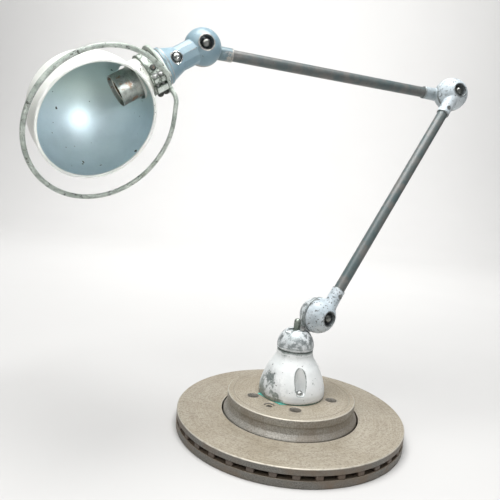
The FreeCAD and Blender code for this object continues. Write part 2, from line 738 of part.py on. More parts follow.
def knuckle_nodes(name, back, front):
    """The inner pieces that each of the three knuckles holds."""
    return {
        f"{name}_ring_plate": put(ring_plate(), back),
        f"{name}_contact_rings": put(contact_rings(), back),
        f"{name}_friction_washer": put(friction_washer(), back),
        f"{name}_brush_plate": put(brush_plate(), front),
        f"{name}_contact_brushes": put(contact_brushes(), front),
        f"{name}_knuckle_bolt": put(knuckle_bolt(), front),
        f"{name}_knuckle_nut": put(knuckle_nut(), front)}


def model():
    tight = STUD_R
    loose = STUD_R + RUN
    nodes = {
        "brake_disc": brake_disc(),
        "foot_gasket": foot_gasket(),
        "cone_foot": foot(),
        "foot_bolts": foot_bolts(),
        "foot_nuts": foot_nuts(),
        "inlet_bush": inlet_bush(),
        "terminal_block": terminal_block(),
        "block_bracket": block_bracket(),
        "thrust_washer": thrust_washer(),
        "swivel_cap": swivel_cap(),
        "swivel_stud": swivel_stud(),
        "swivel_dome_nut": swivel_nut(),
        "swivel_lock_nut": swivel_lock_nuts(),
        "cap_lock_screw": cap_lock_screw(),
        "lower_arm_socket": put(arm_shell(tight), AT_LOWER),
        "lower_arm_tube": put(arm_tube(LOWER_LENGTH), AT_LOWER),
        "lower_arm_lead": put(arm_lead(LOWER_LENGTH), AT_LOWER),
        "elbow_lower_socket": put(arm_shell(tight), AT_ELBOW_LOWER),
        "lower_set_screws": Part.Compound([put(set_screw(), AT_LOWER), put(set_screw(), AT_ELBOW_LOWER)]),
        "elbow_upper_socket": put(flipped(arm_shell(loose)), AT_ELBOW_UPPER),
        "upper_arm_tube": put(flipped(arm_tube(UPPER_LENGTH)), AT_ELBOW_UPPER),
        "upper_arm_lead": put(flipped(arm_lead(UPPER_LENGTH)), AT_ELBOW_UPPER),
        "head_upper_socket": put(flipped(arm_shell(loose)), AT_HEAD_UPPER),
        "upper_set_screws": Part.Compound([
            put(flipped(set_screw()), AT_ELBOW_UPPER), put(flipped(set_screw()), AT_HEAD_UPPER)]),
        "head_casting": put(head_casting(), AT_HEAD),
        "switch_body": put(switch_body(), AT_HEAD),
        "switch_spring": put(switch_spring(), AT_HEAD),
        "switch_bezel": put(switch_bezel(), AT_HEAD),
        "switch_button": put(switch_button(), AT_HEAD)}
    nodes.update(knuckle_nodes("lower", AT_CAP, AT_LOWER))
    nodes.update(knuckle_nodes("elbow", AT_ELBOW_UPPER, AT_ELBOW_LOWER))
    nodes.update(knuckle_nodes("head", AT_HEAD_UPPER, AT_HEAD))
    for name, shape in (
            ("lampholder_shell", holder_shell()), ("lampholder_core", holder_core()),
            ("thread_liner", thread_liner()), ("centre_contact", centre_contact()),
            ("shade", shade()), ("clamp_collar", clamp_collar()), ("collar_screw", collar_screw()),
            ("clamp_bolts", clamp_bolts()), ("clamp_nuts", clamp_nuts())):
        nodes[name] = put(shape, AT_SHADE)
    nodes["guard_ring"] = put(guard_ring(), AT_SHADE)
    return nodes


os.makedirs("parts", exist_ok=True)
for node, part in model().items():
    save(node, part)
for label, point in (("lower ball", lower_ball), ("elbow ball", elbow_ball), ("head ball", head_ball),
                     ("neck root", neck_root)):
    print(f"{label}: {point.x:.2f} {point.y:.2f} {point.z:.2f}")
for label, way in (("lower axis", lower_axis), ("elbow axis", elbow_axis), ("head axis", head_axis),
                   ("lower arm", lower_dir), ("upper arm", upper_dir),
                   ("neck", neck_dir), ("shade", shade_dir)):
    print(f"{label}: {way.x:.5f} {way.y:.5f} {way.z:.5f}")
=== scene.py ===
import json
import math
import random

import bmesh
import bpy
import numpy as np
from mathutils import Matrix, Vector


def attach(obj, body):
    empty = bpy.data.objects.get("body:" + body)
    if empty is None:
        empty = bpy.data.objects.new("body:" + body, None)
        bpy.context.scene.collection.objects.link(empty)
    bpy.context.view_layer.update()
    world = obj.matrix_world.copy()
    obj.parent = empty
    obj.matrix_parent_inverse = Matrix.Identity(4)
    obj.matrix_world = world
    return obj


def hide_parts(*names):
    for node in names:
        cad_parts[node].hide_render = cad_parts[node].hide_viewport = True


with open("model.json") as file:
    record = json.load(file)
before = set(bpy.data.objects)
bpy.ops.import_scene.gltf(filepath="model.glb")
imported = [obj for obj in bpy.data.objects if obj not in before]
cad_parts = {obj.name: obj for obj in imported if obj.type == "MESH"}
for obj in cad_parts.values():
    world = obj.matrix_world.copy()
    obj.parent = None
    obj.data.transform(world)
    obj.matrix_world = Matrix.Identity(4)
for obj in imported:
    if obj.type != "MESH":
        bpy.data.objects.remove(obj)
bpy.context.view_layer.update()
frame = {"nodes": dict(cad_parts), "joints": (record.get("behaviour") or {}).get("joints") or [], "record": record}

# Lengths below are in millimetres; place() turns them into metres. Lights and materials use metres.
MM = 0.001
JOINTS = {joint["name"]: joint for joint in frame["joints"]}
UP = Vector((0, 0, 1))
RIGHT = Vector((1, 0, 0))

ARM_OFFSET = 10.0
SHADE_TURN = -41.0
BALL_R = 25.0
SPLIT = 0.15
RECESS_R = 9.75
RECESS_FLOOR = 15.0
SOCKET_R = 9.3
SOCKET_END = 44.5
TUBE_R = 7.75
TUBE_START = 24.0
SPOUT_R = 24.5
GUARD_R = 95.4
GUARD_X = 175.0
GUARD_Z = 53.6
GUARD_TILT = math.radians(2.1)
GUARD_ROD_R = 2.9
GUARD_OPEN = 24.0
GUARD_RUN = 25.5
GUARD_BEND = 9.0
SHADE_R = 75.0
SHADE_WALL = 1.2
SHADE_X = 176.6
SHADE_RIM_Z = 40.2
SHADE_BASE_Z = 20.2
SWITCH_X = 47.0
# In metres: from here a light is mirrored in the bowl, low and to the left of its middle.
BOWL_LIGHT = (0.497, -0.998, 0.53)


# ---------------------------------------------------------------- the frame's places

def joint_point(name):
    return Vector(JOINTS[name]["pos_m"]) / MM


def joint_axis(name):
    return Vector(JOINTS[name]["axis"]).normalized()


def placed(origin, x_axis, z_axis):
    """The matrix that carries local X and Z onto two directions, in millimetres."""
    y_axis = z_axis.cross(x_axis)
    matrix = Matrix((x_axis, y_axis, z_axis)).transposed().to_4x4()
    matrix.translation = origin
    return matrix


lower_ball = joint_point("lower_knuckle")
elbow_ball = joint_point("elbow_knuckle")
head_ball = joint_point("head_knuckle")
neck_root = joint_point("shade_swivel")
lower_axis = joint_axis("lower_knuckle")
elbow_axis = -joint_axis("elbow_knuckle")
head_axis = joint_axis("head_knuckle")
neck_dir = joint_axis("shade_swivel")
lower_dir = (elbow_ball - lower_ball - (lower_axis - elbow_axis) * ARM_OFFSET).normalized()
upper_dir = (head_ball - elbow_ball - (head_axis - elbow_axis) * ARM_OFFSET).normalized()
LOWER_LENGTH = (elbow_ball - lower_ball - (lower_axis - elbow_axis) * ARM_OFFSET).length
UPPER_LENGTH = (head_ball - elbow_ball - (head_axis - elbow_axis) * ARM_OFFSET).length
shade_dir = Matrix.Rotation(math.radians(SHADE_TURN), 3, neck_dir) @ head_axis
lean = UP.cross(lower_axis)
cap_centre = Vector((0, 0, 119.5))
cap_reach = cap_centre - (lower_ball - lower_axis * ARM_OFFSET)

WORLD = Matrix.Identity(4)
AT_CAP = placed(lower_ball, cap_reach.normalized(), lower_axis)
AT_LOWER = placed(lower_ball, lower_dir, lower_axis)
AT_ELBOW_LOWER = placed(elbow_ball, -lower_dir, elbow_axis)
AT_ELBOW_UPPER = placed(elbow_ball, upper_dir, elbow_axis)
AT_HEAD_UPPER = placed(head_ball, -upper_dir, head_axis)
AT_HEAD = placed(head_ball, neck_dir, head_axis)
AT_SHADE = placed(neck_root, neck_dir, shade_dir)
CAP_TURN = placed(Vector((0, 0, 0)), lean, UP)
FLIP = Matrix.Scale(-1, 4, UP)
Z_TO_X = Matrix.Rotation(math.pi / 2, 4, "Y")
Z_TO_Y = Matrix.Rotation(-math.pi / 2, 4, "X")
collar_way = Matrix.Rotation(math.radians(42.0), 3, "X") @ UP


# ---------------------------------------------------------------- mesh building

def mesh_object(name, points, faces):
    mesh = bpy.data.meshes.new(name)
    mesh.from_pydata([tuple(p) for p in points], [], faces)
    obj = bpy.data.objects.new(name, mesh)
    bpy.context.scene.collection.objects.link(obj)
    return obj


def cleaned(obj, distance=1e-4):
    """Merges doubled points and turns every face outwards."""
    work = bmesh.new()
    work.from_mesh(obj.data)
    bmesh.ops.remove_doubles(work, verts=work.verts, dist=distance)
    bmesh.ops.dissolve_degenerate(work, edges=work.edges, dist=distance)
    loose = [edge for edge in work.edges if not edge.link_faces]
    bmesh.ops.delete(work, geom=loose, context="EDGES")
    bmesh.ops.holes_fill(work, edges=[edge for edge in work.edges if edge.is_boundary])
    bmesh.ops.recalc_face_normals(work, faces=work.faces)
    work.to_mesh(obj.data)
    work.free()
    return obj


def applied(obj):
    """Bakes an object's modifiers into its mesh."""
    graph = bpy.context.evaluated_depsgraph_get()
    mesh = bpy.data.meshes.new_from_object(obj.evaluated_get(graph))
    obj.modifiers.clear()
    obj.data = mesh
    return obj


def moved(obj, matrix):
    obj.data.transform(matrix)
    if matrix.determinant() < 0:
        obj.data.flip_normals()
    return obj


def rounded(points, steps=4):
    """A closed outline of (a, b) or (a, b, radius); a radius rounds that corner."""
    out = []
    count = len(points)
    for index, point in enumerate(points):
        corner = Vector(point[:2])
        radius = point[2] if len(point) > 2 else 0
        before = Vector(points[index - 1][:2]) - corner
        after = Vector(points[(index + 1) % count][:2]) - corner
        if not radius or before.length < 1e-6 or after.length < 1e-6:
            out.append(tuple(corner))
            continue
        half = before.angle(after) / 2
        if half > math.radians(88):
            out.append(tuple(corner))
            continue
        reach = min(radius / math.tan(half), before.length * 0.49, after.length * 0.49)
        start = corner + before.normalized() * reach
        stop = corner + after.normalized() * reach
        for step in range(steps + 1):
            t = step / steps
            out.append(tuple(start.lerp(corner, t).lerp(corner.lerp(stop, t), t)))
    return out


def lathe(name, outline, segments=96, along_x=False):
    """A closed outline of (radius, height) spun about Z, or of (x, radius) spun about X."""
    if along_x:
        outline = [(r, x) for x, r in outline]
    points = []
    faces = []
    count = len(outline)
    for k in range(segments):
        angle = 2 * math.pi * k / segments
        points.extend((r * math.cos(angle), r * math.sin(angle), z) for r, z in outline)
    for k in range(segments):
        here = k * count
        there = (k + 1) % segments * count
        for i in range(count):
            j = (i + 1) % count
            faces.append((here + i, here + j, there + j, there + i))
    obj = cleaned(mesh_object(name, points, faces))
    return moved(obj, Z_TO_X) if along_x else obj


def cylinder(radius, low, high, x=0.0, y=0.0, segments=64):
    obj = lathe("cylinder", [(0, low), (radius, low), (radius, high), (0, high)], segments)
    return moved(obj, Matrix.Translation((x, y, 0)))


def bar(radius, start, stop, segments=48):
    """A round bar between two points."""
    start, stop = Vector(start), Vector(stop)
    obj = cylinder(radius, 0, (stop - start).length, segments=segments)
    turn = UP.rotation_difference((stop - start).normalized()).to_matrix().to_4x4()
    return moved(obj, Matrix.Translation(start) @ turn)


def neck_bar(radius, start, stop, segments=48, height=0.0):
    """A round bar along local X, between two distances."""
    return bar(radius, (start, 0, height), (stop, 0, height), segments)


def arm_bar(radius, start, stop, segments=48):
    """A round bar along an arm's line, which runs beside the joint face."""
    return neck_bar(radius, start, stop, segments, ARM_OFFSET)


def block(x0, x1, y0, y1, z0, z1):
    corners = [(x, y, z) for x in (x0, x1) for y in (y0, y1) for z in (z0, z1)]
    faces = [(0, 1, 3, 2), (4, 6, 7, 5), (0, 4, 5, 1), (2, 3, 7, 6), (0, 2, 6, 4), (1, 5, 7, 3)]
    return cleaned(mesh_object("block", corners, faces))


def prism(across, low, high, x=0.0, y=0.0, sides=6):
    obj = cylinder(across / 2 / math.cos(math.pi / sides), low, high, segments=sides)
    return moved(obj, Matrix.Translation((x, y, 0)))


def combine(obj, others, operation):
    """Adds, cuts or keeps the common part of other solids, and removes them."""
    for other in others:
        step = obj.modifiers.new("boolean", "BOOLEAN")
        step.object = other
        step.operation = operation
        step.solver = "EXACT"
    applied(obj)
    for other in others:
        bpy.data.objects.remove(other)
    return obj


def fused(obj, *others):
    return combine(obj, others, "UNION")


def cut(obj, *others):
    return combine(obj, others, "DIFFERENCE")


def common(obj, *others):
    return combine(obj, others, "INTERSECT")


def cast(obj, voxel, smooth=2, factor=0.5):
    """Remeshes a solid evenly, so that its corners turn soft like a casting's."""
    cleaned(obj, 0.01)
    step = obj.modifiers.new("remesh", "REMESH")
    step.mode = "VOXEL"
    step.voxel_size = voxel
    if smooth:
        step = obj.modifiers.new("smooth", "SMOOTH")
        step.iterations = smooth
        step.factor = factor
    return applied(obj)


def bevelled(obj, width, segments=2, angle=35):
    step = obj.modifiers.new("bevel", "BEVEL")
    step.width = width
    step.segments = segments
    step.limit_method = "ANGLE"
    step.angle_limit = math.radians(angle)
    step.harden_normals = False
    return cleaned(applied(obj))


def smooth_through(points, steps=6):
    """A smooth open curve through 2-D or 3-D points."""
    points = [Vector(p) for p in points]
    ends = [points[0] * 2 - points[1]] + points + [points[-1] * 2 - points[-2]]
    out = []
    for a, b, c, d in zip(ends, ends[1:], ends[2:], ends[3:]):
        for step in range(steps):
            t = step / steps
            out.append(tuple(
                0.5 * (2 * b + (c - a) * t + (2 * a - 5 * b + 4 * c - d) * t * t
                       + (3 * b - a - 3 * c + d) * t * t * t)))
    out.append(tuple(points[-1]))
    return out


def sweep(name, path, radius, segments=24, closed=False):
    """A round bar along a path; radius may be a function of the share of the way."""
    path = [Vector(p) for p in path]
    count = len(path)
    tangents = []
    for i in range(count):
        before = path[i - 1] if closed or i else path[0]
        after = path[(i + 1) % count] if closed or i < count - 1 else path[-1]
        tangents.append((after - before).normalized())
    side = tangents[0].orthogonal().normalized()
    points = []
    for i, (point, tangent) in enumerate(zip(path, tangents)):
        side = (side - tangent * side.dot(tangent)).normalized()
        other = tangent.cross(side)
        size = radius(i / (count - 1)) if callable(radius) else radius
        for k in range(segments):
            angle = 2 * math.pi * k / segments
            points.append(point + (side * math.cos(angle) + other * math.sin(angle)) * size)
    faces = []
    for i in range(count if closed else count - 1):
        j = (i + 1) % count
        for k in range(segments):
            m = (k + 1) % segments
            faces.append((i * segments + k, i * segments + m, j * segments + m, j * segments + k))
    if not closed:
        faces.append(tuple(range(segments)))
        faces.append(tuple((count - 1) * segments + k for k in range(segments)))
    return cleaned(mesh_object(name, points, faces), 1e-6)


def neighbours_mean(obj, rounds):
    """Each point's place after its neighbours have pulled on it a number of times."""
    mesh = obj.data
    count = len(mesh.vertices)
    places = np.empty(count * 3)
    mesh.vertices.foreach_get("co", places)
    places = places.reshape(-1, 3)
    edges = np.empty(len(mesh.edges) * 2, np.int64)
    mesh.edges.foreach_get("vertices", edges)
    first, second = edges.reshape(-1, 2).T
    share = 1.0 / np.maximum(np.bincount(edges, minlength=count), 1)
    now = places.copy()
    for _ in range(rounds):
        total = np.empty_like(now)
        for axis in range(3):
            total[:, axis] = (np.bincount(first, now[second, axis], count)
                              + np.bincount(second, now[first, axis], count))
        now = total * share[:, None]
    return places, now


def mark_edges(obj, scale, rounds=8):
    """Stores how far each point stands out from its surroundings, for wear along edges."""
    places, mean = neighbours_mean(obj, rounds)
    normals = np.empty(len(obj.data.vertices) * 3)
    obj.data.vertices.foreach_get("normal", normals)
    out = ((places - mean) * normals.reshape(-1, 3)).sum(1) / scale
    layer = obj.data.attributes.new("edge", "FLOAT", "POINT")
    layer.data.foreach_set("value", np.clip(out, -1, 1).astype(np.float32))


def place(obj, name, matrix, body, material, replaces=(), edge=0.0, angle=40):
    """Puts a finished piece where the frame says, and lets it ride."""
    moved(obj, matrix)
    if edge:
        mark_edges(obj, edge)
    obj.name = name
    obj.data.name = name
    obj.data.transform(Matrix.Scale(MM, 4))
    obj.data.materials.clear()
    obj.data.materials.append(material)
    obj.data.shade_smooth()
    if angle:
        obj.data.set_sharp_from_angle(angle=math.radians(angle))
    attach(obj, body)
    if replaces:
        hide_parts(*replaces)
    return obj


# ---------------------------------------------------------------- materials

class Graph:
    """Short names for the nodes of one material."""

    def __init__(self, name, metallic=0.0, roughness=0.5):
        self.material = bpy.data.materials.new(name)
        self.material.use_nodes = True
        self.tree = self.material.node_tree
        self.shader = self.tree.nodes["Principled BSDF"]
        self.shader.inputs["Metallic"].default_value = metallic
        self.shader.inputs["Roughness"].default_value = roughness
        self.object_place = self.add("ShaderNodeTexCoord").outputs["Object"]

    def add(self, kind, **settings):
        node = self.tree.nodes.new(kind)
        for key, value in settings.items():
            setattr(node, key, value)
        return node

    def put(self, socket, value):
        if isinstance(value, bpy.types.NodeSocket):
            self.tree.links.new(value, socket)
        elif isinstance(value, tuple) and len(value) == 3 and socket.type == "RGBA":
            socket.default_value = (*value, 1)
        else:
            socket.default_value = value

    def to(self, name, value):
        self.put(self.shader.inputs[name], value)

    def noise(self, scale, detail=4.0, roughness=0.55, vector=None, distortion=0.0):
        node = self.add("ShaderNodeTexNoise")
        self.put(node.inputs["Vector"], vector or self.object_place)
        node.inputs["Scale"].default_value = scale
        node.inputs["Detail"].default_value = detail
        node.inputs["Roughness"].default_value = roughness
        node.inputs["Distortion"].default_value = distortion
        return node.outputs["Fac"]

    def math(self, operation, a, b=0.0, clamp=False):
        node = self.add("ShaderNodeMath", operation=operation, use_clamp=clamp)
        self.put(node.inputs[0], a)
        self.put(node.inputs[1], b)
        return node.outputs[0]

    def step(self, value, low, high, to_low=0.0, to_high=1.0):
        """A soft step: to_low below low, to_high above high."""
        node = self.add("ShaderNodeMapRange", interpolation_type="SMOOTHSTEP")
        self.put(node.inputs["Value"], value)
        node.inputs["From Min"].default_value = low
        node.inputs["From Max"].default_value = high
        node.inputs["To Min"].default_value = to_low
        node.inputs["To Max"].default_value = to_high
        return node.outputs["Result"]

    def mix(self, factor, a, b):
        node = self.add("ShaderNodeMix", data_type="RGBA")
        self.put(node.inputs[0], factor)
        self.put(node.inputs[6], a)
        self.put(node.inputs[7], b)
        return node.outputs[2]

    def blend(self, factor, a, b):
        node = self.add("ShaderNodeMix", data_type="FLOAT")
        self.put(node.inputs[0], factor)
        self.put(node.inputs[2], a)
        self.put(node.inputs[3], b)
        return node.outputs[0]

    def parts(self, vector):
        node = self.add("ShaderNodeSeparateXYZ")
        self.put(node.inputs[0], vector)
        return node.outputs

    def vector(self, x, y, z):
        node = self.add("ShaderNodeCombineXYZ")
        for socket, value in zip(node.inputs, (x, y, z)):
            self.put(socket, value)
        return node.outputs[0]

    def vector_math(self, operation, a, b=None):
        """The outputs of one vector sum; operands are sockets, vectors or tuples."""
        node = self.add("ShaderNodeVectorMath", operation=operation)
        for socket, value in zip(node.inputs, (a, b)):
            if value is not None:
                self.put(socket, value if isinstance(value, bpy.types.NodeSocket) else tuple(value))
        return node.outputs

    def from_point(self, point):
        """The way from a point, in metres, to the place being shaded."""
        return self.vector_math("SUBTRACT", self.object_place, point)["Vector"]

    def along(self, direction, origin=(0.0, 0.0, 0.0)):
        """How far a point lies along a direction from a point, in metres."""
        return self.vector_math("DOT_PRODUCT", self.from_point(origin), direction)["Value"]

    def length(self, vector):
        return self.vector_math("LENGTH", vector)["Value"]

    def from_axis(self, point, axis):
        """How far the place being shaded lies from a line, in metres."""
        return self.length(self.vector_math("CROSS_PRODUCT", self.from_point(point), axis)["Vector"])

    def edge(self):
        return self.add("ShaderNodeAttribute", attribute_name="edge").outputs["Fac"]

    def facing(self, direction):
        """The share of the surface's own normal along a direction."""
        normal = self.add("ShaderNodeTexCoord").outputs["Normal"]
        return self.vector_math("DOT_PRODUCT", normal, direction)["Value"]

    def bump(self, height, distance, strength=1.0, after=None):
        node = self.add("ShaderNodeBump")
        node.inputs["Strength"].default_value = strength
        node.inputs["Distance"].default_value = distance
        self.put(node.inputs["Height"], height)
        if after is not None:
            self.put(node.inputs["Normal"], after)
        return node.outputs["Normal"]


def recesses(g):
    """Masks for painted shade inside the knuckles' round recesses, and for the worn lip round each of them."""
    inside, lip = 0.0, 0.0
    for name in ("lower_knuckle", "elbow_knuckle", "head_knuckle"):
        centre = to_metres(joint_point(name))
        near = g.step(g.length(g.from_point(centre)), 0.0262, 0.0266, 1.0, 0.0)
        reach = g.from_axis(centre, joint_axis(name))
        # Painted shade: the recess's wall and floor, where the knuckle's own shadow falls.
        painted_recess_shade = g.math("MULTIPLY", near, g.step(reach, 0.0096, 0.0100, 1.0, 0.0))
        ring = g.math("MULTIPLY", near, g.step(reach, 0.0104, 0.0124, 1.0, 0.0))
        inside = g.math("MAXIMUM", inside, painted_recess_shade)
        lip = g.math("MAXIMUM", lip, ring)
    return inside, lip


def worn_paint(name, paint, shade, bare, wear=0.5, edge_wear=0.8, scale=55.0, rough=0.38,
               specks=0.5, more=None, knuckle=0.0):
    """Old paint: two tones, worn to metal in patches and along edges, with dark specks; on knuckles, a worn lip
    and painted shade in each round recess.
    """
    g = Graph(name)
    patches = g.noise(scale, 9, 0.68, distortion=0.3)
    fine = g.noise(scale * 7, 6, 0.6)
    tone = g.step(g.noise(scale * 0.45, 5, 0.6), 0.35, 0.65)
    mask = g.math("ADD", patches, g.math("MULTIPLY", g.edge(), edge_wear))
    if more is not None:
        mask = g.math("ADD", mask, more(g))
    if knuckle:
        inside, lip = recesses(g)
        mask = g.math("ADD", mask, g.math("MULTIPLY", lip, knuckle))
    mask = g.math("ADD", mask, g.math("MULTIPLY", g.math("SUBTRACT", fine, 0.5), 0.22))
    worn = g.step(mask, 1.02 - wear * 0.5, 1.08 - wear * 0.5)
    grime = g.step(g.math("ADD", mask, 0.10), 1.0 - wear * 0.5, 1.08 - wear * 0.5)
    dots = g.step(g.noise(scale * 5, 3, 0.5), 0.72 - 0.05 * specks, 0.745 - 0.05 * specks)
    colour = g.mix(tone, paint, shade)
    dirty = tuple(c * 0.72 for c in shade)
    colour = g.mix(g.math("MULTIPLY", grime, 0.45), colour, dirty)
    metal = g.mix(g.step(fine, 0.35, 0.7), bare, tuple(c * 0.62 for c in bare))
    colour = g.mix(worn, colour, metal)
    colour = g.mix(g.math("MULTIPLY", dots, 0.85), colour, (0.055, 0.052, 0.045))
    # Painted shade: each knuckle's recess is made nearly black.
    if knuckle:
        colour = g.mix(g.math("MULTIPLY", inside, 0.88), colour, (0.04, 0.043, 0.04))
    g.to("Base Color", colour)
    g.to("Metallic", g.math("MULTIPLY", worn, 0.75))
    roughness = g.blend(fine, rough - 0.07, rough + 0.13)
    g.to("Roughness", g.blend(worn, roughness, 0.46))
    film = g.math("SUBTRACT", g.math("MULTIPLY", fine, 0.25), g.math("ADD", worn, dots))
    g.to("Normal", g.bump(film, 0.00012, 0.8))
    return g.material


def turned_iron():
    """Grey iron: fine turned rings, a brown bloom, dark rough casting on the hat's side."""
    g = Graph("disc_iron")
    x, y, z = g.parts(g.object_place)
    radius = g.math("SQRT", g.math("ADD", g.math("MULTIPLY", x, x), g.math("MULTIPLY", y, y)))
    angle = g.math("ARCTAN2", y, x)
    around = g.vector(g.math("MULTIPLY", radius, 1400), g.math("MULTIPLY", angle, 2.0), 0.0)
    rings = g.noise(1.0, 3, 0.6, around)
    wide = g.vector(g.math("MULTIPLY", radius, 260), g.math("MULTIPLY", angle, 1.3), 0.0)
    bands = g.noise(1.0, 4, 0.6, wide)
    blotch = g.noise(16, 7, 0.62)
    grain = g.noise(900, 4, 0.7)
    flat = g.step(g.math("ABSOLUTE", g.facing(UP)), 0.55, 0.85)
    warm = g.mix(g.step(blotch, 0.3, 0.7), (0.34, 0.295, 0.22), (0.43, 0.39, 0.315))
    warm = g.mix(g.step(bands, 0.35, 0.68, 0.0, 0.40), warm, (0.32, 0.275, 0.205))
    warm = g.mix(g.math("MULTIPLY", g.step(rings, 0.45, 0.62), 0.28), warm, (0.62, 0.575, 0.48))
    pits = g.step(g.noise(420, 5, 0.75), 0.46, 0.62, 0.0, 0.6)
    warm = g.mix(pits, warm, (0.19, 0.155, 0.115))
    side = g.mix(g.step(grain, 0.3, 0.7), (0.115, 0.108, 0.095), (0.27, 0.26, 0.235))
    side = g.mix(g.step(blotch, 0.42, 0.66), side, (0.20, 0.155, 0.115))
    hat = g.mix(g.step(g.noise(600, 5, 0.7), 0.3, 0.7), (0.25, 0.24, 0.215), (0.52, 0.50, 0.455))
    hat = g.mix(g.step(blotch, 0.42, 0.66, 0.0, 0.6), hat, (0.27, 0.225, 0.175))
    side = g.mix(g.step(radius, 0.0932, 0.0936, 1.0, 0.0), side, hat)
    colour = g.mix(flat, side, warm)
    rim_lip = g.math("MULTIPLY", g.step(radius, 0.1546, 0.1552), g.step(z, 0.0232, 0.0240))
    hat_lip = g.math("MULTIPLY", g.step(radius, 0.0862, 0.0868), g.step(z, 0.0486, 0.0492))
    near = g.math("MULTIPLY", g.step(radius, 0.0952, 0.0960, 1.0, 0.0), g.step(z, 0.0238, 0.0244))
    near = g.math("MULTIPLY", near, g.step(radius, 0.0930, 0.0935))
    lip = g.math("MAXIMUM", g.math("MAXIMUM", rim_lip, hat_lip), near)
    lip = g.math("MULTIPLY", lip, g.step(g.noise(130, 4), 0.3, 0.55, 0.35, 0.75))
    colour = g.mix(lip, colour, (0.62, 0.585, 0.50))
    inside = g.step(radius, 0.1552, 0.1560)
    low = g.math("MULTIPLY", g.step(z, 0.0165, 0.0166, 1, 0), g.step(z, 0.0099, 0.0100))
    vent = g.math("MULTIPLY", low, g.math("SUBTRACT", 1.0, inside))
    colour = g.mix(g.math("MULTIPLY", vent, 0.6), colour, (0.10, 0.062, 0.042))
    g.to("Base Color", colour)
    g.to("Metallic", g.blend(flat, 0.55, 0.35))
    g.to("Roughness", g.blend(grain, 0.48, 0.66))
    normal = g.bump(rings, 0.00006, 0.5)
    rough_cast = g.math("MULTIPLY", g.noise(420, 5, 0.6), g.math("SUBTRACT", 1.0, flat))
    g.to("Normal", g.bump(rough_cast, 0.0006, 0.7, normal))
    return g.material


def bare_metal(name, light, dark, roughness=0.35, scale=120.0, rust=0.0):
    g = Graph(name, metallic=1.0)
    fine = g.noise(scale * 5, 5, 0.65)
    blotch = g.noise(scale, 6, 0.6)
    colour = g.mix(g.step(blotch, 0.35, 0.68), light, dark)
    colour = g.mix(g.math("MULTIPLY", g.step(fine, 0.5, 0.75), 0.5), colour, tuple(c * 0.5 for c in dark))
    if rust:
        red = g.step(g.noise(scale * 0.8, 8, 0.7, distortion=0.4), 0.64 - rust * 0.2, 0.74 - rust * 0.2)
        colour = g.mix(red, colour, (0.20, 0.105, 0.055))
        g.to("Metallic", g.blend(red, 0.9, 0.15))
    g.to("Base Color", colour)
    g.to("Roughness", g.blend(fine, roughness - 0.08, roughness + 0.16))
    g.to("Normal", g.bump(fine, 0.00005, 0.5))
    return g.material


def moulded(name, colour, darker, roughness=0.45, scale=300.0, coat=0.0):
    g = Graph(name, roughness=roughness)
    grain = g.noise(scale, 5, 0.6)
    g.to("Base Color", g.mix(g.step(grain, 0.3, 0.7), colour, darker))
    g.to("Roughness", g.blend(grain, roughness - 0.06, roughness + 0.1))
    g.to("Normal", g.bump(grain, 0.00004, 0.5))
    g.shader.inputs["Coat Weight"].default_value = coat
    return g.material


def to_metres(point):
    return tuple(c * MM for c in point)


def foot_wear(g):
    """More wear down the cone's left and round its neck."""
    left = g.step(g.along((-0.86, -0.50, 0.0)), 0.018, 0.046, 0.0, 0.24)
    neck = g.step(g.along((0, 0, 1)), 0.098, 0.112, 0.0, 0.16)
    return g.math("ADD", left, neck)


def shade_paint():
    """Cream-white outside, bare blue-grey metal inside, told apart by the surface's own side; painted shade
    darkens the inside towards its top.
    """
    g = Graph("shade_enamel")
    centre = AT_SHADE @ Vector((SHADE_X, 0, SHADE_BASE_Z))
    normal = g.add("ShaderNodeTexCoord").outputs["Normal"]
    outwards = g.vector_math("DOT_PRODUCT", normal, g.from_point(to_metres(centre)))["Value"]
    depth = g.along(tuple(shade_dir), to_metres(centre))
    below_rim = g.step(depth, 0.0180, 0.0187, 1.0, 0.0)
    inside = g.math("MULTIPLY", g.step(outwards, -0.012, -0.006, 1.0, 0.0), below_rim)

    blotch = g.noise(26, 6, 0.6)
    fine = g.noise(420, 6, 0.65)
    grain = g.noise(1500, 3, 0.7)
    out_colour = g.mix(g.step(blotch, 0.35, 0.7), (0.80, 0.81, 0.765), (0.68, 0.70, 0.655))
    chips = g.step(g.math("ADD", g.noise(230, 6, 0.7), g.math("MULTIPLY", g.edge(), 0.25)), 0.70, 0.74)
    root = g.step(g.along(tuple(neck_dir), to_metres(neck_root)), 0.100, 0.140, 0.07, 0.0)
    chips = g.math("MAXIMUM", chips, g.step(g.math("ADD", g.noise(330, 5, 0.65), root), 0.69, 0.73))
    out_colour = g.mix(chips, out_colour, (0.09, 0.088, 0.075))

    # Painted shade: the inside turns a darker green-grey towards its top.
    painted_top_shade = g.step(g.along((0, 0, 1), to_metres(centre)), -0.012, 0.045)
    metal = g.mix(g.step(blotch, 0.3, 0.7), (0.63, 0.74, 0.79), (0.54, 0.65, 0.70))
    metal = g.mix(g.math("MULTIPLY", painted_top_shade, 0.75), metal, (0.39, 0.48, 0.41))
    metal = g.mix(g.math("MULTIPLY", g.step(grain, 0.52, 0.7), 0.30), metal, (0.60, 0.70, 0.74))
    spots = g.step(g.noise(150, 2, 0.4), 0.725, 0.75)
    metal = g.mix(spots, metal, (0.03, 0.035, 0.03))
    g.to("Base Color", g.mix(inside, out_colour, metal))
    g.to("Metallic", g.math("MULTIPLY", inside, 0.55))
    g.to("Roughness", g.blend(inside, g.blend(fine, 0.26, 0.42), g.blend(grain, 0.42, 0.55)))
    film = g.math("SUBTRACT", g.math("MULTIPLY", fine, 0.3), g.math("ADD", chips, spots))
    g.to("Normal", g.bump(film, 0.0001, 0.7))
    return g.material


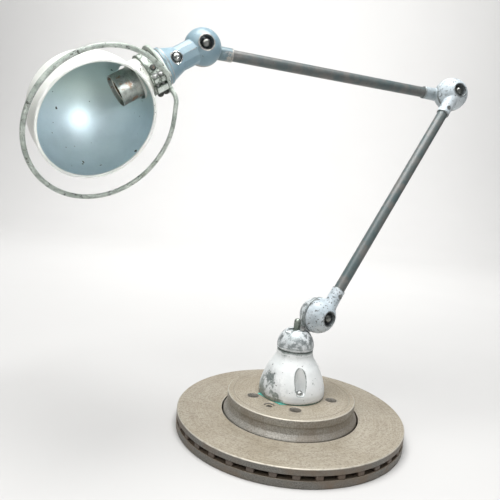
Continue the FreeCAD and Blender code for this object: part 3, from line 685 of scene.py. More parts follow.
def bezel_metal():
    """Bright plate with painted shade in the sunk cone round the button."""
    g = Graph("bezel_plate", metallic=1.0, roughness=0.2)
    reach = g.from_axis(to_metres(AT_HEAD @ Vector((SWITCH_X, 0, 0))), head_axis)
    # Painted shade: the sunk cone round the button is made dark.
    dark = g.step(reach, 0.0066, 0.0070, 1.0, 0.0)
    fine = g.noise(700, 4, 0.6)
    bright = g.mix(g.step(fine, 0.4, 0.7), (0.82, 0.83, 0.82), (0.62, 0.63, 0.62))
    g.to("Base Color", g.mix(dark, bright, (0.075, 0.08, 0.078)))
    g.to("Roughness", g.blend(dark, 0.18, 0.5))
    return g.material


IRON = turned_iron()
FOOT_PAINT = worn_paint("foot_paint", (0.86, 0.875, 0.87), (0.70, 0.73, 0.725), (0.45, 0.50, 0.48),
                        wear=0.56, edge_wear=0.7, scale=48, more=foot_wear)
CAP_PAINT = worn_paint("cap_paint", (0.80, 0.82, 0.83), (0.60, 0.65, 0.66), (0.42, 0.46, 0.465),
                       wear=0.96, edge_wear=0.8, scale=115)
KNUCKLE_PAINT = worn_paint("knuckle_paint", (0.62, 0.67, 0.70), (0.46, 0.53, 0.57), (0.34, 0.37, 0.37),
                           wear=0.66, edge_wear=0.8, scale=70, rough=0.34, specks=2.2, knuckle=0.13)
# Painted shade: a darker copy of the front halves' paint, for the back half at the elbow.
SHADED_BACK_PAINT = worn_paint("knuckle_back_shaded_paint", (0.46, 0.51, 0.53), (0.36, 0.42, 0.45), (0.34, 0.37, 0.37),
                        wear=0.76, edge_wear=0.7, scale=80, specks=1.0, knuckle=0.10)
HEAD_PAINT = worn_paint("head_paint", (0.235, 0.335, 0.385), (0.175, 0.265, 0.310), (0.46, 0.45, 0.42),
                        wear=0.48, edge_wear=0.9, scale=60, rough=0.33, specks=0.8, knuckle=0.20)
# Painted shade: a darker copy of the head's paint, for the back half at the head.
SHADED_HEAD_BALL_PAINT = worn_paint("head_ball_shaded_paint", (0.165, 0.24, 0.265), (0.125, 0.185, 0.21),
                             (0.43, 0.42, 0.39), wear=0.78, edge_wear=0.9, scale=72, rough=0.34, knuckle=0.22)
TUBE_PAINT = worn_paint("tube_paint", (0.080, 0.112, 0.115), (0.150, 0.148, 0.140), (0.22, 0.17, 0.12),
                        wear=0.72, edge_wear=0.3, scale=120, rough=0.36, specks=0.9)
GUARD_PAINT = worn_paint("guard_paint", (0.47, 0.51, 0.465), (0.28, 0.32, 0.28), (0.075, 0.075, 0.065),
                         wear=0.86, edge_wear=0.0, scale=150, rough=0.36, specks=1.0)
COLLAR_METAL = bare_metal("cast_aluminium", (0.40, 0.44, 0.39), (0.20, 0.23, 0.20), 0.42, 110)
COLLAR_PAINT = worn_paint("collar_paint", (0.66, 0.69, 0.65), (0.47, 0.52, 0.47), (0.20, 0.235, 0.20),
                          wear=1.04, edge_wear=0.9, scale=90, rough=0.36, specks=0.8)
PLATED = bare_metal("plated_steel", (0.40, 0.41, 0.40), (0.20, 0.205, 0.20), 0.36, 160, rust=0.25)
DARK_NUT = bare_metal("dark_nut_steel", (0.115, 0.118, 0.11), (0.05, 0.052, 0.05), 0.40, 190, rust=0.3)
CHROME = bare_metal("chrome_plate", (0.80, 0.81, 0.80), (0.66, 0.67, 0.66), 0.16, 90)
DARK_DOME = bare_metal("domed_nut_steel", (0.30, 0.31, 0.29), (0.13, 0.135, 0.125), 0.28, 170)
BUTTON_STEEL = bare_metal("button_steel", (0.42, 0.43, 0.42), (0.25, 0.255, 0.25), 0.24, 140)
BEZEL = bezel_metal()
BRASS = bare_metal("brass_turned", (0.70, 0.50, 0.20), (0.48, 0.33, 0.13), 0.30, 150)
AGED_BRASS = bare_metal("brass_aged", (0.115, 0.075, 0.035), (0.05, 0.033, 0.018), 0.42, 150)
GALVANISED = bare_metal("galvanised_steel", (0.44, 0.47, 0.44), (0.24, 0.255, 0.235), 0.44, 100, rust=0.55)
BLACK_PLASTIC = moulded("black_plastic", (0.022, 0.022, 0.024), (0.012, 0.012, 0.013))
PALE_PLASTIC = moulded("pale_plastic", (0.66, 0.61, 0.48), (0.56, 0.51, 0.39))
PHENOLIC = moulded("phenolic_board", (0.17, 0.075, 0.03), (0.11, 0.048, 0.02), 0.38, 180)
FIBRE = moulded("vulcanised_fibre", (0.30, 0.055, 0.035), (0.22, 0.04, 0.025), 0.6, 220)
INSULATION = moulded("lead_insulation", (0.03, 0.03, 0.032), (0.018, 0.018, 0.02), 0.5, 260)
CERAMIC = moulded("lampholder_ceramic", (0.80, 0.77, 0.68), (0.72, 0.68, 0.59), 0.18, 90, coat=0.4)
GASKET = moulded("gasket_sheet", (0.15, 0.60, 0.50), (0.10, 0.46, 0.39), 0.55, 240)
SHADE_PAINT = shade_paint()


# ---------------------------------------------------------------- camera, floor and light

def camera():
    """The viewing angle of the reference: focal length, place, pitch and roll."""
    data = bpy.data.cameras.new("camera")
    data.sensor_width = 36.0
    data.lens = 40.56
    data.clip_start = 0.01
    obj = bpy.data.objects.new("camera", data)
    pitch = math.radians(8.356)
    roll = math.radians(4.521)
    ahead = Vector((0, math.cos(pitch), -math.sin(pitch)))
    above = Vector((0, math.sin(pitch), math.cos(pitch)))
    right = RIGHT * math.cos(roll) + above * math.sin(roll)
    top = above * math.cos(roll) - RIGHT * math.sin(roll)
    matrix = Matrix((right, top, -ahead)).transposed().to_4x4()
    matrix.translation = Vector((-72.4, -746.5, 354.8)) * MM
    obj.matrix_world = matrix
    bpy.context.scene.collection.objects.link(obj)
    bpy.context.scene.camera = obj


def stage_floor():
    """A pale floor that curves up far behind into a plain backdrop."""
    outline = [(-3.0, 0.0), (1.6, 0.0)]
    for step in range(1, 13):
        angle = math.pi / 2 * step / 12
        outline.append((1.6 + 1.2 * math.sin(angle), 1.2 - 1.2 * math.cos(angle)))
    outline.append((2.8, 4.5))
    points = [(x, y, z) for x in (-5.0, 5.0) for y, z in outline]
    count = len(outline)
    faces = [(k, k + 1, count + k + 1, count + k) for k in range(count - 1)]
    floor = mesh_object("floor", points, faces)
    floor.data.shade_smooth()
    g = Graph("stage_paper", roughness=0.85)
    g.to("Base Color", g.mix(g.noise(3.0, 2), (0.58, 0.575, 0.565), (0.61, 0.605, 0.595)))
    floor.data.materials.append(g.material)


def area_light(name, place_m, target_m, size, power, colour=(1, 1, 1), spread=180):
    data = bpy.data.lights.new(name, "AREA")
    data.shape = "RECTANGLE"
    data.size = size[0]
    data.size_y = size[1]
    data.energy = power
    data.color = colour
    data.spread = math.radians(spread)
    obj = bpy.data.objects.new(name, data)
    obj.location = place_m
    obj.rotation_euler = (Vector(target_m) - Vector(place_m)).to_track_quat("-Z", "Y").to_euler()
    obj.visible_camera = False
    bpy.context.scene.collection.objects.link(obj)


def lights():
    world = bpy.data.worlds.new("world")
    world.use_nodes = True
    back = world.node_tree.nodes["Background"]
    back.inputs["Color"].default_value = (0.93, 0.96, 1.0, 1)
    back.inputs["Strength"].default_value = 0.19
    bpy.context.scene.world = world
    area_light("top", (-0.1, -0.15, 1.9), (0.0, 0.05, 0.2), (1.4, 1.0), 50)
    area_light("key", (-0.9, -1.4, 1.7), (0.0, 0.0, 0.25), (1.0, 0.9), 12.5, (1.0, 0.985, 0.96))
    area_light("fill", (1.7, -1.2, 0.9), (0.0, 0.0, 0.25), (1.2, 1.4), 1.6, (0.93, 0.97, 1.0))
    bowl = AT_SHADE @ Vector((SHADE_X, 0, 0)) * MM
    area_light("bowl", BOWL_LIGHT, bowl, (0.36, 0.22), 0.19, (0.96, 0.98, 1.0), 16)
    area_light("backdrop", (0.0, 1.0, 1.7), (0.0, 2.8, 0.9), (2.5, 1.0), 54)
    bpy.context.scene.view_settings.view_transform = "Standard"


camera()
stage_floor()
lights()

# ---------------------------------------------------------------- base: disc, gasket, cone

DISC_R = 156.0
DISC_INNER_R = 94.5
HAT_TOP = 50.2
HAT_BORE_R = 32.5
FOOT_Z = 51.0
FOOT_H = 63.4
FOOT_BOLT_PHASE = 281.5
FOOT_BOLT_CIRCLE = 38.0
WHEEL_PHASE = 200.3
WHEEL_CIRCLE = 56.0
LOCATOR_ANGLE = 236.0
VANES = 36


def around(count, phase, radius):
    for k in range(count):
        angle = math.radians(phase + 360.0 * k / count)
        yield radius * math.cos(angle), radius * math.sin(angle)


def chamfered_hole(radius, top, x, y, chamfer=0.5, low=30.0):
    outline = [(0, low), (radius, low), (radius, top - chamfer), (radius + chamfer + 0.2, top + 0.2),
               (0, top + 0.2)]
    return moved(lathe("hole", outline, 64), Matrix.Translation((x, y, 0)))


def brake_disc():
    hat = lathe("hat", rounded([
        (HAT_BORE_R, HAT_TOP, 0.7), (HAT_BORE_R, 42.2, 0.5), (74, 42.2, 2), (79, 37.2, 3),
        (80.5, 1.5, 1), (97.5, 1.5, 0.3), (98.5, 0, 0.5), (155, 0, 0.5), (DISC_R, 1, 0.5),
        (DISC_R, 10, 0.4), (92.3, 10, 0.5), (92.3, 24.6, 0.7), (91.2, 26.4, 0.9), (87.8, 31, 3),
        (86.6, 38.6, 1.2), (87.7, 40.4, 0.9), (87.7, 49.2, 0.5), (86.7, HAT_TOP, 0.5),
        (80.7, HAT_TOP, 0.2), (80.3, 49.75, 0.2), (79.7, 49.75, 0.2), (79.3, HAT_TOP, 0.2)], 3), 240)
    holes = [chamfered_hole(7.75, HAT_TOP, x, y) for x, y in around(5, WHEEL_PHASE, WHEEL_CIRCLE)]
    for x, y in around(1, LOCATOR_ANGLE, WHEEL_CIRCLE):
        holes.append(cylinder(4.2, 30, 60, x, y))
        holes.append(chamfered_hole(6.9, HAT_TOP, x, y, 0.4, HAT_TOP - 2.5))
    holes += [cylinder(2.8, 30, 60, x, y, 32) for x, y in around(3, FOOT_BOLT_PHASE, FOOT_BOLT_CIRCLE)]
    cut(hat, *holes)
    upper = lathe("upper", rounded([
        (DISC_INNER_R, 16.5, 0.5), (DISC_R, 16.5, 0.5), (DISC_R, 24, 0.6), (155, 25, 0.6),
        (95.5, 25, 0.6), (DISC_INNER_R, 24, 0.6)], 3), 240)
    vane = bevelled(block(97.5, 155.3, -4.8, 4.8, 9.9, 16.6), 1.2, 2)
    for k in range(VANES):
        turn = Matrix.Rotation(2 * math.pi * k / VANES, 4, "Z")
        other = vane.copy()
        other.data = vane.data.copy()
        bpy.context.scene.collection.objects.link(other)
        join(upper, moved(other, turn))
    bpy.data.objects.remove(vane)
    join(hat, upper)
    place(hat, "brake_disc_turned", WORLD, "base", IRON, ["brake_disc"], angle=50)


def join(obj, other):
    """Adds another object's mesh to this one's as separate shells."""
    work = bmesh.new()
    work.from_mesh(obj.data)
    work.from_mesh(other.data)
    work.to_mesh(obj.data)
    work.free()
    bpy.data.objects.remove(other)
    return obj


def gasket():
    """The hand-cut sheet: a slightly uneven round with one straight-edged tab."""
    draw = random.Random(7)
    tab = [Vector(p) for p in ((-46.6, -13.5), (-17.5, -44.6), (-8, -43), (-40, -8))]
    outline = []
    for k in range(180):
        angle = 2 * math.pi * k / 180
        ray = Vector((math.cos(angle), math.sin(angle)))
        reach = 43.3 + 0.2 * math.sin(5 * angle) + draw.uniform(-0.06, 0.06)
        for a, b in zip(tab, tab[1:] + tab[:1]):
            edge = b - a
            across = ray.x * edge.y - ray.y * edge.x
            if abs(across) > 1e-6:
                t = (a.x * edge.y - a.y * edge.x) / across
                s = (a.x * ray.y - a.y * ray.x) / across
                if 0 <= s <= 1 and t > reach:
                    reach = t
        outline.append(ray * reach)
    count = len(outline)
    points = [(p.x, p.y, z) for z in (HAT_TOP, FOOT_Z) for p in outline]
    points += [(30.5 * p.normalized().x, 30.5 * p.normalized().y, z)
               for z in (HAT_TOP, FOOT_Z) for p in outline]
    faces = []
    for k in range(count):
        m = (k + 1) % count
        faces.append((k, m, count + m, count + k))
        faces.append((2 * count + k, 3 * count + k, 3 * count + m, 2 * count + m))
        faces.append((k, 2 * count + k, 2 * count + m, m))
        faces.append((count + k, count + m, 3 * count + m, 3 * count + k))
    sheet = cleaned(mesh_object("gasket", points, faces))
    place(sheet, "gasket_cut_sheet", WORLD, "base", GASKET, ["foot_gasket"], angle=35)


def cone_foot():
    """The bell casting with its arched bolt pockets."""
    skin = [(45.2, 4.0), (44.6, 12), (41.2, 24.5), (34.8, 39), (29.6, 47), (25.7, 54), (24.6, 59.5)]
    outline = [(0, 0.0), (44.0, 0.0), (44.6, 0.5), (45.0, 1.8)] + smooth_through(skin, 6)
    outline += [(24.5, FOOT_H - 0.6), (24.1, FOOT_H), (0, FOOT_H)]
    body = lathe("cone", outline, 160)
    hollow = lathe("hollow", [(0, -1), (39.5, -1), (39.5, 10), (36.5, 24), (29, 39), (20, 51.5),
                              (0, 51.5)], 96)
    places = list(around(3, FOOT_BOLT_PHASE, FOOT_BOLT_CIRCLE))
    cut(hollow, *[cylinder(10.0, -2, 60, x, y) for x, y in places])
    cutters = [hollow]
    for x, y in places:
        cutters.append(cylinder(7.5, 12.5, 62, x, y, 96))
        cutters.append(cylinder(2.6, -1, 20, x, y, 32))
    cutters.append(bar(5.0, (0, 30, 14), (0, 60, 14)))
    cutters.append(cylinder(3.05, 40, 70))
    cut(body, *cutters)
    cast(body, 0.55, 2)
    matrix = Matrix.Translation((0, 0, FOOT_Z))
    place(body, "cone_foot_casting", matrix, "base", FOOT_PAINT, ["cone_foot"],
          edge=0.35, angle=0)


def foot_bolts():
    """Three raised-head bolts; one shows in the front pocket."""
    for index, (x, y) in enumerate(around(3, FOOT_BOLT_PHASE, FOOT_BOLT_CIRCLE)):
        head = lathe("head", rounded([(0, 0), (4.6, 0, 0.3), (4.6, 2.4, 0.5), (3.6, 3.9, 1.0),
                                      (2.0, 4.9, 1.0), (0, 5.2)]), 48)
        cut(head, block(-3.4, 3.4, -0.5, 0.5, 3.6, 7))
        shank = cylinder(2.5, -29.0, 0.1, segments=32)
        bolt = join(head, shank)
        matrix = Matrix.Translation((x, y, FOOT_Z + 12.5)) @ Matrix.Rotation(0.7 * index, 4, "Z")
        place(bolt, f"foot_bolt_{index + 1}", matrix, "base", PLATED,
              ["foot_bolts"], edge=0.25)


# ---------------------------------------------------------------- knuckles and arms

KNUCKLES = (("lower", AT_LOWER, "lower_arm"), ("elbow", AT_ELBOW_LOWER, "lower_arm"),
            ("head", AT_HEAD, "head"))


def recess_outline():
    """Half of a knuckle in section, from its joint face to its recess."""
    top = math.sqrt(BALL_R ** 2 - RECESS_R ** 2)
    start = math.asin(0.75 / BALL_R)
    stop = math.acos((RECESS_R + 0.45) / BALL_R)
    arc = []
    for step in range(25):
        angle = start + (stop - start) * step / 24
        arc.append((BALL_R * math.cos(angle), BALL_R * math.sin(angle)))
    face = [(0, SPLIT), (BALL_R - 0.55, SPLIT)]
    recess = [(RECESS_R, top - 0.45), (RECESS_R, RECESS_FLOOR), (0, RECESS_FLOOR)]
    return face + arc + recess


def knuckle_hollow(bore):
    ring = lathe("ring", [(6.5, -1), (20, -1), (20, 7), (16, 12), (6.5, 12)], 64)
    return [ring, cylinder(7.5, -1, 1), cylinder(bore, -1, 26, segments=32)]


def half_knuckle():
    """The front half of a knuckle with its joint face at SPLIT."""
    return lathe("half", recess_outline(), 128)


def arm_shell():
    """A knuckle half with the flared socket for an arm tube."""
    body = half_knuckle()
    steps = 10
    rings = []
    for step in range(steps + 1):
        t = step / steps
        ease = t * (2 - t)
        radius = 11.2 + (SOCKET_R - 11.2) * ease
        height = 11.9 + (ARM_OFFSET - 11.9) * ease
        turns = (2 * math.pi * k / 96 for k in range(96))
        rings.append([(8 + 22 * t, radius * math.sin(a), height + radius * math.cos(a)) for a in turns])
    socket = lathe("socket", rounded([(29, 0), (29, SOCKET_R), (SOCKET_END, SOCKET_R, 0.9),
                                      (SOCKET_END, 0)]), 96, True)
    moved(socket, Matrix.Translation((0, 0, ARM_OFFSET)))
    fused(body, loft("flare", rings), socket)
    bore = arm_bar(TUBE_R + 0.05, TUBE_START, 50, 64)
    wire_way = arm_bar(3.0, 12, 25)
    screw = bar(2.1, (35, 0, ARM_OFFSET), (35, 0, 30))
    return cut(body, *knuckle_hollow(3.05), bore, wire_way, screw)


def arm_shells():
    for name, node, matrix, body, material, slot in (
            ("lower_arm_socket_casting", "lower_arm_socket", AT_LOWER, "lower_arm",
             KNUCKLE_PAINT, "knuckle_paint"),
            ("elbow_lower_socket_casting", "elbow_lower_socket", AT_ELBOW_LOWER, "lower_arm",
             KNUCKLE_PAINT, "knuckle_paint"),
            ("elbow_upper_socket_casting", "elbow_upper_socket", AT_ELBOW_UPPER @ FLIP, "upper_arm",
             SHADED_BACK_PAINT, "knuckle_paint"),
            ("head_upper_socket_casting", "head_upper_socket", AT_HEAD_UPPER @ FLIP, "upper_arm",
             SHADED_HEAD_BALL_PAINT, "head_paint")):
        shell = cast(arm_shell(), 0.5, 2)
        place(shell, name, matrix, body, material, [node], edge=0.3, angle=0)


def tubes():
    for name, node, matrix, length, body in (
            ("lower_arm_tube_painted", "lower_arm_tube", AT_LOWER, LOWER_LENGTH, "lower_arm"),
            ("upper_arm_tube_painted", "upper_arm_tube", AT_ELBOW_UPPER @ FLIP, UPPER_LENGTH,
             "upper_arm")):
        start, stop = TUBE_START + 0.1, length - TUBE_START - 0.1
        steps = 60
        outer = [(start + (stop - start) * k / steps, TUBE_R - 0.02) for k in range(steps + 1)]
        tube = lathe("tube", outer + [(stop, 6.25), (start, 6.25)], 64, True)
        moved(tube, Matrix.Translation((0, 0, ARM_OFFSET)))
        place(tube, name, matrix, body, TUBE_PAINT, [node])


def knuckle_bolts():
    """The domed, flanged nuts that sit in the round recesses."""
    for name, matrix, body in KNUCKLES:
        bolt = lathe("bolt", rounded([
            (0, -22.4), (2.9, -22.4, 0.4), (2.98, 14.0), (2.98, RECESS_FLOOR),
            (7.1, RECESS_FLOOR + 0.02, 0.2), (7.1, 16.2, 0.4), (6.2, 16.6, 0.4), (6.05, 17.6, 0.8),
            (5.7, 19.4, 1.4), (4.4, 21.3, 1.6), (2.4, 22.3, 1.4), (0, 22.55)]), 64)
        place(bolt, f"{name}_knuckle_domed_bolt", matrix, body, DARK_DOME,
              [f"{name}_knuckle_bolt"], edge=0.3)


def swivel_cap():
    """Slotted dome, neck and the back half of the lower knuckle, one casting."""
    body = lathe("cap", rounded([(0, 115.5), (24.4, 115.5, 0.3), (25.2, 116.3, 0.5)]) + [
        (25.2 * math.cos(a), 119.5 + 25.2 * math.sin(a))
        for a in (math.asin(22.5 / 25.2) * k / 24 for k in range(25))] + [(0, 142.0)], 128)
    slot = moved(block(-30, 12, -5.2, 5.2, 138.3, 150), CAP_TURN)
    under = lathe("under", [(9, 114), (20, 114), (20, 128.5), (9, 128.5)], 64)
    lock = cylinder(4.0, 142, 150, 6.6, -7.4)
    reach = cap_reach.length - 7
    neck = arm_bar(8.0, 14, reach, 64)
    web = block(15, reach, -4, 9.5, ARM_OFFSET - 4, ARM_OFFSET + 4)
    half = half_knuckle()
    moved(fused(half, neck, web), AT_CAP @ FLIP)
    cut(body, slot, under)
    fused(body, half)
    hollow = [moved(piece, AT_CAP @ FLIP) for piece in knuckle_hollow(3.05)]
    cut(body, *hollow, cylinder(3.0, 114, 160), cylinder(5.2, 138.3, 162), lock)
    cast(body, 0.5, 2)
    place(body, "swivel_cap_casting", WORLD, "cap", CAP_PAINT, ["swivel_cap"],
          edge=0.35, angle=0)


def swivel_fittings():
    """The domed nut in the slot and the small lock screw beside it."""
    nut = lathe("dome", rounded([
        (0, 138.5), (4.5, 138.5, 0.2), (4.75, 141.0, 0.3), (4.7, 150.5, 1), (4.3, 153.6, 2),
        (2.9, 156.0, 1.6), (0, 156.7)]), 48)
    skirt = bevelled(prism(8.3, 138.4, 142.6), 0.3)
    place(join(nut, skirt), "swivel_domed_nut", WORLD, "cap", COLLAR_METAL,
          ["swivel_dome_nut"], edge=0.3)
    screw = bevelled(prism(6.3, 142.05, 147.9, 6.6, -7.4), 0.5)
    shank = cylinder(1.5, 131.5, 142.1, 6.6, -7.4, 24)
    place(join(screw, shank), "cap_lock_hex_screw", WORLD, "cap", PLATED,
          ["cap_lock_screw"], edge=0.3)


def knuckle_nuts():
    """Split washers and nuts in the recesses at the back of the knuckles."""
    floor = -RECESS_FLOOR - 0.3
    for name, matrix, body in KNUCKLES:
        nut = bevelled(prism(10.0, floor - 6.3, floor - 1.3), 0.5)
        washer = lathe("washer", rounded([(3, floor - 1.3, 0.2), (7, floor - 1.3, 0.4), (7, floor, 0.4),
                                          (3, floor, 0.2)]), 48)
        cut(washer, block(0, 9, -0.4, 0.4, floor - 3, floor + 1))
        cut(nut, cylinder(3.0, floor - 8, floor, segments=32))
        place(join(nut, washer), f"{name}_knuckle_hex_nut", matrix, body, PLATED,
              [f"{name}_knuckle_nut"], edge=0.3)


def inlet():
    """The bush at the back of the foot."""
    bush = lathe("bush", rounded([(3.4, 37.5, 0.3), (5, 37.5, 0.3), (5, 45.0, 0.2), (7, 45.0, 0.3),
                                  (7, 47.4, 0.8), (3.4, 47.4, 0.6)]), 64)
    matrix = Matrix.Translation((0, 0, FOOT_Z + 14.0)) @ Z_TO_Y
    place(bush, "inlet_bush_moulded", matrix, "base", BLACK_PLASTIC, ["inlet_bush"])


# ---------------------------------------------------------------- head, switch and lampholder

SLIM = [(0, 21.2), (8.5, 18.2), (14.6, 12.8), (16.5, 7.0), (15.6, 1.4), (9, 0.6)]
ROUND_END = [(0, 25), (30, 24), (62, 24), (90, 24), (125, 24), (158, 24)]
NECK_END = 40.0
BELL_END = 64.0
SPIGOT_R = 23.4
SPIGOT_END = 95.0
SWITCH_SEAT = 23.6


def loft(name, rings):
    count = len(rings[0])
    last = (len(rings) - 1) * count
    points = [p for ring in rings for p in ring]
    faces = [tuple(range(count)), tuple(last + k for k in range(count))]
    for i in range(len(rings) - 1):
        for k in range(count):
            m = (k + 1) % count
            faces.append((i * count + k, i * count + m, (i + 1) * count + m, (i + 1) * count + k))
    return cleaned(mesh_object(name, points, faces))


def between(values, steps):
    """A closed list with each gap divided evenly."""
    out = []
    for a, b in zip(values, values[1:] + values[:1]):
        out += [tuple(p + (q - p) * s / steps for p, q in zip(a, b)) for s in range(steps)]
    return out


def neck_rings():
    """Faceted sections that turn round towards the bell."""
    slim = between(SLIM + [(-y, z) for y, z in reversed(SLIM) if y], 5)
    turns = ROUND_END + [(360 - a, r) for a, r in reversed(ROUND_END) if a]
    turns = between(turns + [(360, 25)], 5)[:len(slim)]
    end = [(r * math.sin(math.radians(a)), ARM_OFFSET + r * math.cos(math.radians(a))) for a, r in turns]
    rings = [[(x, y, z) for y, z in slim] for x in (8, 20, NECK_END)]
    for step in range(1, 9):
        t = step / 8
        x = NECK_END + (BELL_END - NECK_END) * t
        rings.append([(x, a[0] + (b[0] - a[0]) * t, a[1] + (b[1] - a[1]) * t) for a, b in zip(slim, end)])
    return rings


def head_casting():
    body = half_knuckle()
    fused(body, loft("neck", neck_rings()), arm_bar(24.4, 61, 66, 96),
          arm_bar(SPIGOT_R, 60, SPIGOT_END, 96))
    cut(body, *knuckle_hollow(3.0), arm_bar(20.6, 61.4, 99, 96),
        arm_bar(5.0, 12, 70),
        cylinder(8.5, SWITCH_SEAT, 50, SWITCH_X), cylinder(7.1, 5.5, 50, SWITCH_X))
    cast(body, 0.5, 2, 0.4)
    place(body, "head_casting_faceted", AT_HEAD, "head", HEAD_PAINT, ["head_casting"],
          edge=0.3, angle=0)


def switch():
    """Chromed bezel with a sunk cone round the domed push button."""
    at_switch = AT_HEAD @ Matrix.Translation((SWITCH_X, 0, 0))
    ring = lathe("bezel", rounded([
        (5.6, SWITCH_SEAT), (8.3, SWITCH_SEAT, 0.2), (8.3, 25.3, 0.6), (7.9, 26.4, 0.5),
        (6.9, 26.4, 0.4), (6.3, 24.9, 0.3), (5.6, 24.6, 0.1)]), 96)
    place(ring, "switch_bezel_ring", at_switch, "head", BEZEL, ["switch_bezel"])
    dome = [(7 * math.sin(a), 22.4 + 7 * math.cos(a)) for a in (0.82 * (1 - k / 14) for k in range(15))]
    button = lathe("button", [(0, 19.6), (5.3, 19.6), (5.3, 26.6), (5.24, 26.95)] + dome, 72)
    place(button, "switch_button_dome", at_switch, "button", BUTTON_STEEL, ["switch_button"])


def lampholder():
    shell = lathe("holder", rounded([
        (61.5, 4), (61.5, 20.3, 0.5), (112.0, 20.25), (112.6, 19.9, 0.3), (114.0, 19.9, 0.3),
        (114.6, 20.25, 0.3), (130.8, 20.25, 0.3), (131.5, 20.5, 0.4), (133.6, 20.5, 0.5), (134, 19.9, 0.3),
        (134, 19.2, 0.3), (133.2, 18.92, 0.3), (63.5, 18.9), (63.5, 4)]), 128, True)
    place(shell, "lampholder_tube_beaded", AT_SHADE, "head", GALVANISED,
          ["lampholder_shell"], edge=0.3)
    core = lathe("core", rounded([
        (84, 2.5), (84, 18.75, 0.8), (129.4, 18.75, 0.9), (129.9, 16.5, 0.5), (129.9, 14.8, 0.4),
        (128.8, 14.2, 0.3), (96, 14.2), (96, 2.5)]), 96, True)
    place(core, "lampholder_core_glazed", AT_SHADE, "head", CERAMIC, ["lampholder_core"])
    pitch = 3.62
    steps, segments = 82, 72
    points, faces = [], []
    for i in range(steps + 1):
        x = 99.5 + 29.5 * i / steps
        for k in range(segments):
            angle = 2 * math.pi * k / segments
            wave = math.cos(2 * math.pi * (x / pitch - k / segments))
            radius = 13.62 + 0.38 * wave
            points.append((x, radius * math.sin(angle), radius * math.cos(angle)))
    for i in range(steps):
        for k in range(segments):
            m = (k + 1) % segments
            faces.append((i * segments + k, i * segments + m, (i + 1) * segments + m, (i + 1) * segments + k))
    liner = mesh_object("liner", points, faces)
    step = liner.modifiers.new("wall", "SOLIDIFY")
    step.thickness = 0.18
    step.offset = 0
    place(cleaned(applied(liner)), "thread_liner_rolled", AT_SHADE, "head", AGED_BRASS,
          ["thread_liner"])


# ---------------------------------------------------------------- shade, collar and guard

def bowl_face(y, z, radius):
    """How far along the neck the bowl's wall stands at a place beside the axis."""
    below = min(0.0, z - SHADE_BASE_Z)
    return SHADE_X - math.sqrt(radius ** 2 - y ** 2 - below ** 2)


def shade():
    outer = [(SHADE_R * math.sin(a), SHADE_BASE_Z - SHADE_R * math.cos(a))
             for a in (math.pi / 2 * k / 56 for k in range(57))]
    inner_r = SHADE_R - SHADE_WALL
    inner = [(inner_r * math.sin(a), SHADE_BASE_Z - inner_r * math.cos(a))
             for a in (math.pi / 2 * (1 - k / 56) for k in range(57))]
    rim = [(74.6 + 1.9 * math.cos(a), SHADE_RIM_Z + 1.9 * math.sin(a))
           for a in (math.radians(-62 + 290 * k / 20) for k in range(21))]
    bowl = lathe("bowl", outer + [(SHADE_R, 30), (SHADE_R, 37.6)] + rim + [(inner_r, 38), (inner_r, 30)]
                 + inner, 224)
    moved(bowl, Matrix.Translation((SHADE_X, 0, 0)))
    fused(bowl, neck_bar(SPOUT_R, 68, 106, 128))
    cut(bowl, neck_bar(SPIGOT_R + 0.06, 60, 118, 128))
    seam = []
    for k in range(120):
        angle = 2 * math.pi * k / 120
        y, z = (SPOUT_R + 0.2) * math.sin(angle), (SPOUT_R + 0.2) * math.cos(angle)
        seam.append((bowl_face(y, z, SHADE_R) - 0.2, y, z))
    join(bowl, sweep("seam", seam, 1.25, 12, closed=True))
    place(bowl, "shade_bowl_spun", AT_SHADE, "shade", SHADE_PAINT, ["shade"])


def clamp_collar():
    body = neck_bar(27.3, 75.5, 93, 128)
    fused(body, block(75.5, 93, -11, 11, 10, 33))
    holes = [bar(2.1, (x, -30, 29.4), (x, 30, 29.4), 32) for x in (80.7, 88.5)]
    cut(body, block(70, 99, -1.7, 1.7, 0, 40), neck_bar(SPOUT_R + 0.02, 60, 99, 128),
        bar(2.6, (84.5, 0, 0), Vector((84.5, 0, 0)) + collar_way * 40, 32), *holes)
    cast(body, 0.4, 3)
    place(body, "clamp_collar_casting", AT_SHADE, "shade", COLLAR_PAINT,
          ["clamp_collar"], edge=0.3, angle=0)


def collar_fittings():
    """The slotted screw, and the pinch bolts with their round nuts."""
    head = lathe("head", rounded([(0, 27.3), (3.8, 27.3, 0.2), (3.8, 28.3, 0.5), (2.6, 29.2, 0.6),
                                  (0, 29.3)]), 48)
    cut(head, block(-5, 5, -0.6, 0.6, 28.3, 31))
    shank = cylinder(2.55, 24.6, 27.4, segments=32)
    matrix = AT_SHADE @ placed(Vector((84.5, 0, 0)), RIGHT, collar_way)
    place(join(head, shank), "collar_slotted_screw", matrix, "shade", DARK_NUT,
          ["collar_screw"], edge=0.25)
    for index, x in enumerate((80.7, 88.5)):
        at_bolt = AT_SHADE @ Matrix.Translation((x, 0, 29.4)) @ Z_TO_Y
        bolt = lathe("bolt", rounded([
            (0, -14.4), (2.6, -14.3, 0.4), (3.6, -13.4, 0.6), (3.6, -11, 0.2), (2, -11), (2, 17.2, 0.4),
            (0, 17.5)]), 48)
        cut(bolt, block(-5, 5, -0.5, 0.5, -16, -12.7))
        place(bolt, f"clamp_cheese_bolt_{index + 1}", at_bolt, "shade", PLATED,
              ["clamp_bolts"], edge=0.25)
        nut = lathe("nut", rounded([(2, 11), (4, 11, 0.3), (4, 15.2, 1.2), (3.0, 16.5, 0.8), (2, 16.5)]), 48)
        place(nut, f"clamp_round_nut_{index + 1}", at_bolt, "shade", DARK_NUT,
              ["clamp_nuts"], edge=0.25)


def guard_point(degrees):
    """A point on the guard's circle, counted from the side nearest the head."""
    angle = math.radians(degrees)
    across = GUARD_R * math.cos(angle)
    return Vector((GUARD_X - across * math.cos(GUARD_TILT), -GUARD_R * math.sin(angle),
                   GUARD_Z - across * math.sin(GUARD_TILT)))


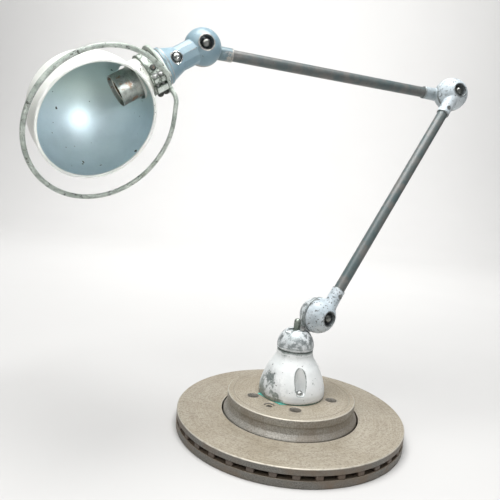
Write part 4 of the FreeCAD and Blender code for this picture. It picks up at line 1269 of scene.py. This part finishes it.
def bend(before, corner, after, radius, steps=8):
    """A tangent arc at a corner."""
    back = (before - corner).normalized()
    on = (after - corner).normalized()
    half = back.angle(on) / 2
    reach = radius / math.tan(half)
    centre = corner + (back + on).normalized() * radius / math.sin(half)
    start = corner + back * reach - centre
    stop = corner + on * reach - centre
    return [centre + start.slerp(stop, k / steps) * radius for k in range(steps + 1)]


def guard():
    """The bent rod, its flange on the spout and the welds between them."""
    around_rim = [guard_point(GUARD_OPEN + (360 - 2 * GUARD_OPEN) * k / 150) for k in range(151)]
    first_way = (around_rim[0] - around_rim[1]).normalized()
    last_way = (around_rim[-1] - around_rim[-2]).normalized()
    knee = around_rim[0] + first_way * GUARD_RUN
    far_knee = around_rim[-1] + last_way * GUARD_RUN
    foot_point = Vector((73.5, -14.5, 29.5))
    far_foot = Vector((73.5, 14.5, 29.5))
    path = [foot_point] + bend(foot_point, knee, around_rim[0], GUARD_BEND) + around_rim
    path += bend(around_rim[-1], far_knee, far_foot, GUARD_BEND) + [far_foot]
    rod = sweep("rod", path, GUARD_ROD_R, 24)
    plate = lathe("plate", rounded([
        (71.5, SPOUT_R + 0.02), (71.5, 32.5, 1.0), (75.5, 32.5, 1.0), (75.5, SPOUT_R + 0.02)], 5), 128, True)
    join(rod, plate)
    for point in (foot_point, far_foot):
        blob = lathe("blob", [(4.3 * math.sin(a), -3.4 * math.cos(a)) for a in
                              (math.pi * k / 12 for k in range(13))], 24)
        join(rod, moved(blob, Matrix.Translation((point.x, point.y * 0.98, point.z * 0.98)) @ Z_TO_X))
    place(rod, "guard_rod_and_flange", AT_SHADE, "shade", GUARD_PAINT, ["guard_ring"])


SLOT_MATERIALS = {
    "disc_iron": IRON, "gasket_sheet": GASKET, "foot_paint": FOOT_PAINT, "plated_steel": PLATED,
    "black_plastic": BLACK_PLASTIC, "pale_plastic": PALE_PLASTIC, "brass": BRASS,
    "cap_paint": CAP_PAINT, "knuckle_paint": KNUCKLE_PAINT, "head_paint": HEAD_PAINT,
    "tube_paint": TUBE_PAINT, "lead_insulation": INSULATION, "chrome": CHROME,
    "galvanised_steel": GALVANISED, "ceramic": CERAMIC, "shade_enamel": SHADE_PAINT,
    "cast_aluminium": COLLAR_METAL, "guard_paint": GUARD_PAINT, "phenolic": PHENOLIC, "fibre": FIBRE}
SLOT_OF = {part["node"]: part["material_slot"] for part in frame["record"]["subparts"]}


def paint_cad_nodes():
    for name, node in frame["nodes"].items():
        material = SLOT_MATERIALS[SLOT_OF[name]]
        if not node.material_slots:
            node.data.materials.append(material)
        for slot in node.material_slots:
            slot.material = material


paint_cad_nodes()
for build in (brake_disc, gasket, cone_foot, foot_bolts, inlet, swivel_cap, swivel_fittings, arm_shells,
              tubes, knuckle_bolts, knuckle_nuts, head_casting, switch, lampholder, shade, clamp_collar,
              collar_fittings, guard):
    build()
